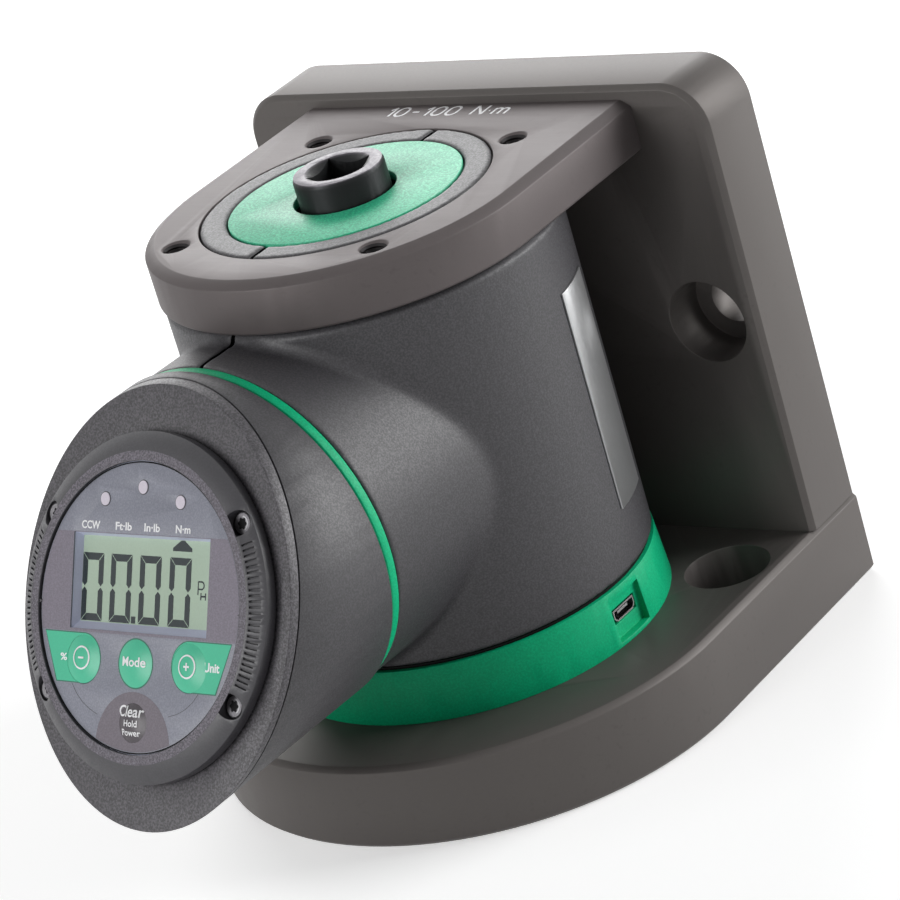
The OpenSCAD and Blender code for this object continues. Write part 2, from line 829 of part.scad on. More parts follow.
module head_cylinder(r) {
    translate([0, 0, head_back]) cylinder(r = r, h = face_s, $fn = 180);
}

module head_shell() {
    color([0.17, 0.17, 0.18]) on_head() difference() {
        intersection() {
            head_cylinder(head_r);
            below_face(-collar_t);
        }
        difference() {
            translate([0, 0, head_back - over]) cylinder(r = head_in, h = 2 * face_s);
            intersection() {
                below_face(seat_top);
                tilted() translate([-2 * head_r, -2 * head_r, seat_top - seat_t])
                    cube([4 * head_r, 4 * head_r, 2 * seat_t]);
            }
            intersection() {
                below_face(seat_top);
                at_turns(back_screw_place, back_screw_turns) translate([0, 0, back_front])
                    cylinder(d = back_screw_boss_d, h = back_screw_boss_h);
            }
        }
        translate([0, 0, head_back - over]) cylinder(r = head_in, h = head_back_t + over);
        tilted() translate([0, 0, seat_top - 3 * seat_t]) cylinder(r = turn_r, h = 3 * seat_t + over);
        at_turns(back_screw_place, back_screw_turns) translate([0, 0, back_front - over])
            cylinder(d = m25[0] + 2 * fit_gap, h = m25[3] + 2 * over);
    }
}

// Places of the screws in the head's back, seen from behind
module back_screw_places() {
    at_turns(back_screw_place, back_screw_turns)
        translate([0, 0, head_back + back_seat_in]) rotate([180, 0, 0]) children();
}

module head_back() {
    color([0.15, 0.15, 0.16]) on_head() difference() {
        union() {
            translate([0, 0, head_back]) cylinder(r = head_in - fit_gap, h = head_back_t);
            translate([0, 0, spigot_end]) cylinder(r = spigot_r, h = head_back + over - spigot_end);
        }
        translate([0, 0, spigot_end - over]) cylinder(r = spigot_in, h = 2 * face_s);
        back_screw_places() cap_room(m25, 0, head_back_t);
    }
}

module head_back_screws() {
    color([0.62, 0.62, 0.64]) on_head() back_screw_places()
        cap_screw(m25, 0);
}

module head_nut() {
    color([0.20, 0.20, 0.21]) on_head() tube(nut_r, spigot_r + fit_gap, nut_front - nut_t, nut_front);
}

module head_washer() {
    color([0.75, 0.75, 0.76]) on_head()
        tube(washer_r, spigot_r + fit_gap, washer_front - washer_t, washer_front);
}

module head_collar() {
    color([0.13, 0.13, 0.14]) on_head() difference() {
        union() {
            intersection() {
                head_cylinder(head_r);
                below_face(0);
                tilted() translate([-2 * head_r, -2 * head_r, parting - collar_t])
                    cube([4 * head_r, 4 * head_r, collar_t]);
            }
            intersection() {
                head_cylinder(head_r - parting_in);
                below_face(parting);
                tilted() translate([-2 * head_r, -2 * head_r, -collar_t])
                    cube([4 * head_r, 4 * head_r, collar_t]);
            }
        }
        tilted() translate([0, 0, -collar_t - over])
            cylinder(r = collar_hole_r, h = 2 * collar_t, $fn = 180);
    }
}

module display_glide() {
    color([0.90, 0.90, 0.88]) on_face()
        tube(display_glide_out, display_glide_in, seat_top, seat_top + display_glide_t);
}

module display_case() {
    color([0.15, 0.15, 0.16]) on_display() difference() {
        union() {
            difference() {
                translate([0, 0, case_low]) cylinder(r = case_r, h = case_top - case_low);
                translate([0, 0, case_low + case_floor]) cylinder(r = case_r - case_wall, h = 2 * rim_h - case_low);
            }
            intersection() {
                translate([0, 0, case_low]) cylinder(r = case_r, h = case_top - case_low);
                for (p = screw_places) translate([p[0], p[1], case_low]) cylinder(d = pillar_d, h = case_top - case_low);
            }
            for (p = post_places) translate([p[0], p[1], case_low])
                cylinder(d = post_d, h = board_top - board_t - case_low);
            translate([0, 0, turn_end]) cylinder(r = turn_r - fit_gap, h = case_low + over - turn_end);
        }
        translate([0, 0, turn_end - over]) cylinder(r = turn_r - fit_gap - turn_wall, h = -turn_end);
        for (p = screw_places) translate([p[0], p[1], screw_seat - m25[3] - over])
            cylinder(d = m25[0] + 2 * fit_gap, h = m25[3] + 2 * over);
    }
}

module display_nut() {
    color([0.20, 0.20, 0.21]) on_display()
        tube(turn_nut_r, turn_r, turn_nut_top - turn_nut_t, turn_nut_top);
}

module bezel_outside() {
    rotate_extrude($fn = 180) polygon([
        [0, case_top], [puck_r, case_top], [puck_r, bezel_shoulder_h], [rim_r, rim_h], [0, rim_h]
    ]);
}

module bezel() {
    color([0.12, 0.12, 0.13]) on_display() difference() {
        bezel_outside();
        difference() {
            translate([0, 0, -over]) cylinder(r = rim_r, h = panel_top + over);
            for (p = screw_places) translate([p[0], p[1], -over]) cylinder(d = screw_pad_d, h = rim_h);
        }
        difference() {
            cylinder(r = bezel_in, h = rim_h + over);
            for (side = [0, 180]) rotate([0, 0, side]) linear_extrude(rim_h - film_t)
                polygon([[bezel_in - index_deep, 0], [bezel_in + over, -index_w / 2], [bezel_in + over, index_w / 2]]);
        }
        for (p = screw_places) translate([p[0], p[1], 0]) {
            cylinder(d = m25[0] + 2 * fit_gap, h = rim_h);
            translate([0, 0, screw_seat]) cylinder(d = screw_well_d, h = rim_h);
        }
        for (side = [0, 180], i = [0:grip_slots - 1])
            rotate([0, 0, side + (i - (grip_slots - 1) / 2) * grip_pitch])
                translate([rim_r, 0, rim_h]) rotate([0, cone_slope, 0])
                    translate([grip_start, -grip_w / 2, -grip_deep]) cube([grip_len, grip_w, 2 * grip_deep]);
    }
}

module bezel_screws() {
    color([0.55, 0.55, 0.57]) on_display() for (p = screw_places)
        translate([p[0], p[1], screw_seat]) cap_screw(m25, 0);
}

module window_cut(room, low, high) {
    translate([-window_w / 2 - room, window_y - window_h / 2 - room, low])
        cube([window_w + 2 * room, window_h + 2 * room, high - low]);
}

// Opening above the glass, with sloping sills
module window_sills() {
    x = window_w / 2;
    low = window_y - window_h / 2;
    high = window_y + window_h / 2;
    intersection() {
        rotate([90, 0, 0]) linear_extrude(4 * window_h, center = true) polygon([
            [sill_side - x, glass_top], [x - sill_side, glass_top], [x, panel_top],
            [x, rim_h], [-x, rim_h], [-x, panel_top]
        ]);
        rotate([90, 0, 90]) linear_extrude(2 * window_w, center = true) polygon([
            [low + sill_low, glass_top], [high - sill_top, glass_top], [high, panel_top],
            [high, rim_h], [low, rim_h], [low, panel_top]
        ]);
    }
}

// Key places with the radius of each key
module key_holes(room, low, high) {
    for (k = [[-side_key_x, key_row_y, key_r], [0, key_row_y, key_r],
              [side_key_x, key_row_y, key_r], [0, clear_key_y, clear_r]])
        translate([k[0], k[1], low]) cylinder(r = k[2] + room, h = high - low);
}

module led_places() {
    for (a = led_turns) rotate([0, 0, a]) translate([0, led_place, 0]) children();
}

module index_notches(low, high) {
    for (side = [0, 180]) rotate([0, 0, side]) translate([0, 0, low]) linear_extrude(high - low)
        polygon([
            [bezel_in - index_deep - 2 * fit_gap, 0], [bezel_in + over, -index_w / 2 - 2 * fit_gap],
            [bezel_in + over, index_w / 2 + 2 * fit_gap]
        ]);
}

module front_panel() {
    color([0.24, 0.25, 0.27]) on_display() difference() {
        translate([0, 0, panel_low]) cylinder(r = panel_r, h = panel_t);
        window_cut(0, panel_low - over, glass_top);
        window_sills();
        key_holes(key_gap, panel_low - over, rim_h);
        led_places() translate([0, 0, panel_low - over]) cylinder(r = led_r + fit_gap, h = rim_h);
        for (p = screw_places) translate([p[0], p[1], 0]) cylinder(d = screw_pad_d + 2 * run_gap, h = rim_h);
        index_notches(panel_low - over, rim_h);
    }
}

module printed_film() {
    color([0.43, 0.44, 0.48]) on_display() difference() {
        translate([0, 0, panel_top]) cylinder(r = film_r, h = film_t);
        window_cut(0, 0, rim_h);
        key_holes(key_gap, 0, rim_h);
        led_places() cylinder(r = led_r + fit_gap, h = rim_h);
        index_notches(0, rim_h);
    }
}

module lcd_frame() {
    low = glass_top - lcd_t;
    color([0.85, 0.87, 0.88]) on_display() difference() {
        window_cut(-lcd_gap, board_top, low);
        window_cut(-lcd_gap - lcd_wall, board_top + lcd_wall, low + over);
    }
}

module lcd_glass() {
    color([0.72, 0.78, 0.68]) on_display() window_cut(-lcd_gap, glass_top - lcd_t, glass_top);
}

module display_board() {
    color([0.10, 0.35, 0.20]) on_display() difference() {
        translate([0, 0, board_top - board_t]) cylinder(r = main_board_r, h = board_t);
        cylinder(d = post_d, h = 4 * board_t, center = true);
    }
}

module display_chips() {
    color([0.10, 0.10, 0.11]) on_display() {
        led_places() translate([-led_chip[0] / 2, -led_chip[1] / 2, board_top]) cube(led_chip);
        for (p = main_chip_places) translate([p[0] - main_chip[0] / 2, p[1] - main_chip[1] / 2, board_top - board_t - main_chip[2]])
            cube(main_chip);
    }
}

module key_switches() {
    color([0.30, 0.30, 0.32]) on_display()
        for (k = [[-side_key_x, key_row_y], [0, key_row_y], [side_key_x, key_row_y], [0, clear_key_y]])
            translate([k[0], k[1], board_top]) {
                translate([-switch_size[0] / 2, -switch_size[1] / 2, 0]) cube(switch_size);
                translate([0, 0, switch_size[2]]) cylinder(r = plunger_r, h = plunger_h);
            }
}

module led_windows() {
    low = board_top + led_chip[2] + face_gap;
    color([0.85, 0.80, 0.88]) on_display() led_places()
        translate([0, 0, low]) cylinder(r = led_r, h = film_top + led_rise - low);
}

module key(x, y, r) {
    ball = (r * r + key_dome * key_dome) / (2 * key_dome);
    lip_low = panel_low - face_gap - key_lip_t;
    stem_low = board_top + switch_size[2] + plunger_h + key_travel + face_gap;
    on_display() translate([x, y, 0]) {
        intersection() {
            translate([0, 0, lip_low]) cylinder(r = r, h = 2 * rim_h);
            translate([0, 0, film_top + key_dome - ball]) sphere(r = ball, $fn = 180);
        }
        translate([0, 0, lip_low]) cylinder(r = r + key_lip, h = key_lip_t);
        translate([0, 0, stem_low]) cylinder(r = stem_r, h = lip_low + over - stem_low);
    }
}

module key_minus() {
    color([0.33, 0.70, 0.56]) key(-side_key_x, key_row_y, key_r);
}

module key_mode() {
    color([0.33, 0.70, 0.56]) key(0, key_row_y, key_r);
}

module key_plus() {
    color([0.33, 0.70, 0.56]) key(side_key_x, key_row_y, key_r);
}

module key_clear() {
    color([0.33, 0.31, 0.34]) key(0, clear_key_y, clear_r);
}

base_plate();
back_plate();
top_plate();
top_plate_screws();
back_plate_screws();
dowel_pins();
transducer();
transducer_screws();
strain_gauges();
gauge_board();
gauge_board_parts();
board_spacers();
board_screws();
base_ring();
base_ring_screws();
usb_socket();
usb_board();
glide_ring();
housing_right();
housing_left();
housing_screws();
cover_disc();
neck_ring();
label_plate();
battery_holder();
battery_cells();
head_shell();
head_back();
head_back_screws();
head_nut();
head_washer();
head_collar();
display_glide();
display_case();
display_nut();
bezel();
bezel_screws();
front_panel();
printed_film();
lcd_frame();
lcd_glass();
display_board();
display_chips();
key_switches();
led_windows();
key_minus();
key_mode();
key_plus();
key_clear();
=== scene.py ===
"""Looks of a bench torque tester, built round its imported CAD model."""

import json
import logging
import math
from collections.abc import Iterable
from dataclasses import dataclass, field
from enum import Enum

import bmesh
import bpy
from mathutils import Matrix, Vector


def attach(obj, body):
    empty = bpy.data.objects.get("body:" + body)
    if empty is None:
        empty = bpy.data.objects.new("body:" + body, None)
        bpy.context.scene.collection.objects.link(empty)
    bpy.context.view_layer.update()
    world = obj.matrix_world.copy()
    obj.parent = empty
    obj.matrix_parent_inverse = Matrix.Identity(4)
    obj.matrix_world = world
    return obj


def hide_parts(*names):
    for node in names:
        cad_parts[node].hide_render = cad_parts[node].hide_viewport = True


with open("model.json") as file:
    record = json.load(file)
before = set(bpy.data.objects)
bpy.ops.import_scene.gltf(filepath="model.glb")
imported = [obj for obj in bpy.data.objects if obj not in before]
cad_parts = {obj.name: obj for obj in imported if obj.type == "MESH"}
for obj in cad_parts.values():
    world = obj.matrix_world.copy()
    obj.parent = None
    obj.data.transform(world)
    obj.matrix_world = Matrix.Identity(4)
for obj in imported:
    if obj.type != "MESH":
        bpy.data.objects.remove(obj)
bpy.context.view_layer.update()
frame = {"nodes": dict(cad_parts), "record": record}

LOG = logging.getLogger("torque_tester")
MM = 0.001
SHARP_ANGLE = 32.0
ROUNDED_ANGLE = 30.0
CAPITAL_SHARE = 0.72
Colour = tuple[float, float, float]
Place = Vector | tuple[float, float, float]
Socket = bpy.types.NodeSocket


class Body(Enum):
    """Moving bodies of the tester."""

    BASE = "base"
    HOUSING = "housing"
    HEAD = "head"
    DISPLAY = "display"
    MINUS = "minus"
    MODE = "mode"
    PLUS = "plus"
    CLEAR = "clear"


# Frames and small geometry helpers


@dataclass(frozen=True)
class Frames:
    """Frames of the turning parts, in millimetres.

    The neck frame has X to the right, Y up and Z outwards along the neck. The face and display
    frames have Z out of the sloping face.

    Attributes:
        neck_z: Height of the neck's axis.
        neck_turn: Turn of the housing from the front, in degrees.
        head_turn: Turn of the head on the neck, in degrees.
        face_s: Distance of the face's middle from the tower axis, along the neck.
        face_tilt: Tilt of the face, in degrees.
        display_turn: Turn of the display in the head, in degrees.
    """

    neck_z: float = 67.0
    neck_turn: float = 4.0
    head_turn: float = 4.4
    face_s: float = 80.5
    face_tilt: float = 30.0
    display_turn: float = -1.8

    def housing(self) -> Matrix:
        """Frame of the housing, with the neck along -Y."""
        return Matrix.Rotation(-math.radians(self.neck_turn), 4, "Z")

    def neck(self) -> Matrix:
        """Frame of the neck."""
        lift = Matrix.Translation((0, 0, self.neck_z))
        return self.housing() @ lift @ Matrix.Rotation(math.radians(90), 4, "X")

    def head(self) -> Matrix:
        """Frame of the head, turned on the neck."""
        return self.neck() @ Matrix.Rotation(math.radians(self.head_turn), 4, "Z")

    def face(self) -> Matrix:
        """Frame of the head's sloping face."""
        out = Matrix.Translation((0, 0, self.face_s))
        return self.head() @ out @ Matrix.Rotation(-math.radians(self.face_tilt), 4, "X")

    def display(self) -> Matrix:
        """Frame of the turning display."""
        return self.face() @ Matrix.Rotation(math.radians(self.display_turn), 4, "Z")


FRAMES = Frames()
WORLD = Matrix.Identity(4)


def srgb(red: int, green: int, blue: int) -> Colour:
    """Turns a colour of 0 to 255 into linear values.

    Args:
        red: Red value.
        green: Green value.
        blue: Blue value.

    Returns:
        The three linear values.
    """

    def straight(value: int) -> float:
        """Turns one value into a linear one."""
        share = value / 255
        return share / 12.92 if share <= 0.04045 else ((share + 0.055) / 1.055) ** 2.4

    return straight(red), straight(green), straight(blue)


def node_body(node: str) -> str:
    """Names the body that a CAD node rides on.

    Args:
        node: Name of the node.

    Returns:
        The body's name.
    """
    bodies = frame["record"]["behaviour"]["bodies"]
    return next(body for body, nodes in bodies.items() if node in nodes)


def linked(name: str, mesh: bpy.types.Mesh) -> bpy.types.Object:
    """Puts a mesh into the scene.

    Args:
        name: Name of the object.
        mesh: Its mesh.

    Returns:
        The object, at the origin.
    """
    piece = bpy.data.objects.new(name, mesh)
    bpy.context.scene.collection.objects.link(piece)
    return piece


def settle(
    bm: bmesh.types.BMesh,
    name: str,
    body: Body,
    finish: bpy.types.Material,
    place: Matrix = WORLD,
) -> bpy.types.Object:
    """Makes a finished object of a mesh drawn in millimetres.

    Args:
        bm: The mesh, which is freed.
        name: Name of the piece.
        body: Body that it rides on.
        finish: Its material.
        place: Frame that it was drawn in.

    Returns:
        The object, at the origin.
    """
    bmesh.ops.remove_doubles(bm, verts=bm.verts, dist=0.0005)
    bmesh.ops.recalc_face_normals(bm, faces=bm.faces)
    bmesh.ops.transform(bm, matrix=Matrix.Scale(MM, 4) @ place, verts=bm.verts)
    mesh = bpy.data.meshes.new(name)
    bm.to_mesh(mesh)
    bm.free()
    mesh.shade_smooth()
    mesh.set_sharp_from_angle(angle=math.radians(SHARP_ANGLE))
    piece = linked(name, mesh)
    mesh.materials.append(finish)
    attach(piece, body.value)
    LOG.info("made %s on %s", name, body.value)
    return piece


def flat_shape(bm: bmesh.types.BMesh, corners: Iterable, height: float) -> None:
    """Adds one flat face from a few corners.

    Args:
        bm: Mesh that takes the face.
        corners: Corners in turn, anticlockwise.
        height: Height of the face.
    """
    bm.faces.new([bm.verts.new((x, y, height)) for x, y in corners])


def disc(bm: bmesh.types.BMesh, radius: float, x: float, y: float, height: float, sides: int) -> None:
    """Adds a flat disc.

    Args:
        bm: Mesh that takes the disc.
        radius: Its radius.
        x: Place of its centre.
        y: Place of its centre.
        height: Its height.
        sides: Number of sides.
    """
    middle = Matrix.Translation((x, y, height))
    bmesh.ops.create_circle(bm, cap_ends=True, segments=sides, radius=radius, matrix=middle)


def ring_band(
    bm: bmesh.types.BMesh,
    centre: tuple[float, float],
    inner: float,
    outer: float,
    start: float,
    sweep: float,
    height: float,
    steps: int = 48,
) -> None:
    """Spins a radial line into a flat ring or part of one.

    Args:
        bm: Mesh that takes the band.
        centre: Centre of the ring.
        inner: Inner radius.
        outer: Outer radius.
        start: Angle where the band starts, in degrees.
        sweep: Angle that it covers, in degrees.
        height: Its height.
        steps: Number of steps.
    """
    turn = Matrix.Rotation(math.radians(start), 4, "Z")
    middle = Vector((centre[0], centre[1], height))
    ends = [bm.verts.new(middle + turn @ Vector((r, 0, 0))) for r in (inner, outer)]
    line = bm.edges.new(ends)
    bmesh.ops.spin(
        bm,
        geom=[*ends, line],
        cent=middle,
        axis=(0, 0, 1),
        angle=math.radians(sweep),
        steps=steps,
        use_merge=abs(sweep) >= 360,
    )


def cut(bm: bmesh.types.BMesh, point: Place, normal: Place, clear: bool = False) -> None:
    """Cuts a mesh along a plane.

    Args:
        bm: The mesh.
        point: A point of the plane.
        normal: Direction across the plane.
        clear: True if what lies on the normal's side is removed.
    """
    parts = [*bm.verts, *bm.edges, *bm.faces]
    bmesh.ops.bisect_plane(bm, geom=parts, plane_co=point, plane_no=normal, clear_outer=clear)


def thicken(bm: bmesh.types.BMesh, depth: float) -> None:
    """Gives flat shapes a thickness below their faces.

    Args:
        bm: Mesh with the flat shapes.
        depth: The thickness.
    """
    bmesh.ops.recalc_face_normals(bm, faces=bm.faces)
    down = [face for face in bm.faces if face.normal.z < 0]
    if down:
        bmesh.ops.reverse_faces(bm, faces=down)
    bmesh.ops.solidify(bm, geom=bm.faces[:], thickness=depth)


@dataclass(frozen=True)
class Lettering:
    """A printed word, with sizes in millimetres.

    Attributes:
        text: The word.
        size: Height of a capital letter.
        x: Middle of the word.
        y: Height of its baseline.
        width: Width of the whole word.
        bold: How far the outline grows.
    """

    text: str
    size: float
    x: float
    y: float
    width: float
    bold: float

    def lay(self, bm: bmesh.types.BMesh, height: float) -> None:
        """Adds the word as flat faces, stretched to its width.

        Args:
            bm: Mesh that takes the word.
            height: Height above the frame's plane.
        """
        curve = bpy.data.curves.new("word", "FONT")
        curve.body = self.text
        curve.size = self.size / CAPITAL_SHARE
        curve.offset = self.bold
        curve.resolution_u = 6
        mesh = meshed(curve)
        across = [vert.co.x for vert in mesh.vertices]
        stretch = self.width / (max(across) - min(across))
        middle = (max(across) + min(across)) / 2
        move = Matrix.Translation((self.x, self.y, height)) @ Matrix.Diagonal((stretch, 1, 1, 1))
        mesh.transform(move @ Matrix.Translation((-middle, 0, 0)))
        bm.from_mesh(mesh)
        bpy.data.meshes.remove(mesh)


def meshed(curve: bpy.types.Curve) -> bpy.types.Mesh:
    """Turns a curve into a mesh and removes the curve.

    Args:
        curve: The curve or text.

    Returns:
        The mesh.
    """
    holder = bpy.data.objects.new("outline", curve)
    bpy.context.scene.collection.objects.link(holder)
    bpy.context.view_layer.update()
    mesh = bpy.data.meshes.new_from_object(holder)
    bpy.data.objects.remove(holder)
    bpy.data.curves.remove(curve)
    return mesh


def arc(
    x: float, y: float, wide: float, high: float, start: float, sweep: float, steps: int = 12
) -> list[tuple[float, float]]:
    """Gives points along an upright ellipse.

    Args:
        x: Its centre.
        y: Its centre.
        wide: Half its width.
        high: Half its height.
        start: Angle of the first point, in degrees.
        sweep: Angle that the points cover.
        steps: Number of steps.

    Returns:
        The points.
    """
    turns = [math.radians(start + sweep * step / steps) for step in range(steps + 1)]
    return [(x + wide * math.cos(turn), y + high * math.sin(turn)) for turn in turns]


def strokes(
    bm: bmesh.types.BMesh, lines: Iterable, width: float, height: float, rise: float = 0.03
) -> None:
    """Adds round-ended strokes, as an engraver or a plotter draws them.

    Args:
        bm: Mesh that takes the strokes.
        lines: Points of each stroke.
        width: Width of a stroke.
        height: Height above the frame's plane.
        rise: How far a stroke stands up.
    """
    curve = bpy.data.curves.new("strokes", "CURVE")
    curve.dimensions = "3D"
    curve.bevel_depth = width / 2
    curve.bevel_resolution = 2
    curve.use_fill_caps = True
    for line in lines:
        spline = curve.splines.new("POLY")
        spline.points.add(len(line) - 1)
        for point, (x, y) in zip(spline.points, line):
            point.co = (x, y, 0, 1)
    mesh = meshed(curve)
    mesh.transform(Matrix.Translation((0, 0, height)) @ Matrix.Diagonal((1, 1, 2 * rise / width, 1)))
    bm.from_mesh(mesh)
    bpy.data.meshes.remove(mesh)


def slice_up(bm: bmesh.types.BMesh, pitch: float, reach: float, x: float, y: float) -> None:
    """Cuts flat shapes into small pieces, so that they can follow a dome.

    Args:
        bm: Mesh with the shapes.
        pitch: Distance between the cuts.
        reach: How far the cuts go from the middle.
        x: The middle.
        y: The middle.
    """
    for step in range(-int(reach / pitch), int(reach / pitch) + 1):
        cut(bm, (x + step * pitch, 0, 0), (1, 0, 0))
        cut(bm, (0, y + step * pitch, 0), (0, 1, 0))


def copied(node: str) -> bmesh.types.BMesh:
    """Copies a CAD node's mesh and merges its loose triangles.

    Args:
        node: Name of the node.

    Returns:
        The copy, in metres.
    """
    bm = bmesh.new()
    bm.from_mesh(frame["nodes"][node].data)
    bmesh.ops.remove_doubles(bm, verts=bm.verts, dist=2e-6)
    bmesh.ops.dissolve_limit(
        bm, angle_limit=math.radians(0.4), verts=bm.verts, edges=bm.edges, use_dissolve_boundaries=False
    )
    return bm


def softened(node: str, width: float, finish: bpy.types.Material, segments: int = 2) -> None:
    """Stands in for a CAD node with the same shape and rounded edges.

    Args:
        node: Name of the node.
        width: Width of the rounding, in millimetres.
        finish: Material of the piece.
        segments: Steps across the rounding.
    """
    bm = copied(node)
    mesh = bpy.data.meshes.new(node + "_rounded")
    bm.to_mesh(mesh)
    bm.free()
    mesh.shade_smooth()
    piece = linked(node + "_rounded", mesh)
    mesh.materials.append(finish)
    rounding = piece.modifiers.new("rounding", "BEVEL")
    rounding.width = width * MM
    rounding.segments = segments
    rounding.limit_method = "ANGLE"
    rounding.angle_limit = math.radians(ROUNDED_ANGLE)
    rounding.harden_normals = True
    rounding.miter_outer = "MITER_ARC"
    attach(piece, node_body(node))
    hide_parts(node)
    LOG.info("rounded %s", node)


def dress(node: str, finish: bpy.types.Material) -> None:
    """Gives a carried-over CAD node its material.

    Args:
        node: Name of the node.
        finish: Its material.
    """
    piece = frame["nodes"][node]
    for holder in piece.material_slots:
        holder.link = "OBJECT"
        holder.material = finish
    LOG.info("dressed %s", node)


# Node trees


class Wiring:
    """Adds nodes to a tree and joins them."""

    def __init__(self, tree: bpy.types.NodeTree) -> None:
        """Keeps the tree.

        Args:
            tree: Tree that takes the nodes.
        """
        self.tree = tree

    def add(self, kind: str, settings: dict | None = None, **inputs: object) -> bpy.types.Node:
        """Adds one node.

        Args:
            kind: Type name of the node.
            settings: Properties to set on it.
            **inputs: Input values or sockets, by name with _ for a space.

        Returns:
            The node.
        """
        node = self.tree.nodes.new(kind)
        for key, value in (settings or {}).items():
            setattr(node, key, value)
        for key, value in inputs.items():
            self.feed(node.inputs[key.replace("_", " ")], value)
        return node

    def feed(self, socket: Socket, value: object) -> None:
        """Joins a socket to an input, or sets the input's value.

        Args:
            socket: The input.
            value: A socket or a plain value.
        """
        if isinstance(value, Socket):
            self.tree.links.new(value, socket)
        elif socket.type == "RGBA" and len(value) == 3:
            socket.default_value = (*value, 1.0)
        else:
            socket.default_value = value

    def maths(self, operation: str, first: object, second: object = 0.0, third: object = 0.0) -> Socket:
        """Adds a Math node.

        Args:
            operation: Its operation.
            first: First value or socket.
            second: Second value or socket.
            third: Third value or socket.

        Returns:
            Its output.
        """
        node = self.add("ShaderNodeMath", {"operation": operation})
        for socket, value in zip(node.inputs, (first, second, third)):
            self.feed(socket, value)
        return node.outputs[0]

    def blend(self, factor: object, first: object, second: object) -> Socket:
        """Mixes two colours.

        Args:
            factor: Share of the second colour.
            first: First colour or socket.
            second: Second colour or socket.

        Returns:
            The mixed colour.
        """
        node = self.add("ShaderNodeMix", {"data_type": "RGBA"})
        self.feed(node.inputs[0], factor)
        self.feed(node.inputs[6], first)
        self.feed(node.inputs[7], second)
        return node.outputs[2]

    def span(self, value: object, low: float, high: float, to_low: float, to_high: float) -> Socket:
        """Maps a value from one range to another and clamps it.

        Args:
            value: Value or socket.
            low: Start of its range.
            high: End of its range.
            to_low: Result at the start.
            to_high: Result at the end.

        Returns:
            The mapped value.
        """
        node = self.add("ShaderNodeMapRange", {"clamp": True})
        ends = {"Value": value, "From Min": low, "From Max": high, "To Min": to_low, "To Max": to_high}
        for key, item in ends.items():
            self.feed(node.inputs[key], item)
        return node.outputs[0]


def new_group(
    name: str, inputs: dict[str, tuple[str, object]], outputs: dict[str, str]
) -> tuple[bpy.types.NodeTree, Wiring, bpy.types.Node, bpy.types.Node]:
    """Starts a shader node group.

    Args:
        name: Name of the group.
        inputs: Input names with their socket type and default value.
        outputs: Output names with their socket type.

    Returns:
        The group, its wiring, its input node and its output node.
    """
    group = bpy.data.node_groups.new(name, "ShaderNodeTree")
    for key, (kind, value) in inputs.items():
        socket = group.interface.new_socket(key, in_out="INPUT", socket_type=kind)
        if value is not None:
            socket.default_value = value
    for key, kind in outputs.items():
        group.interface.new_socket(key, in_out="OUTPUT", socket_type=kind)
    wiring = Wiring(group)
    return group, wiring, wiring.add("NodeGroupInput"), wiring.add("NodeGroupOutput")


FLOAT, COLOUR, VECTOR = "NodeSocketFloat", "NodeSocketColor", "NodeSocketVector"


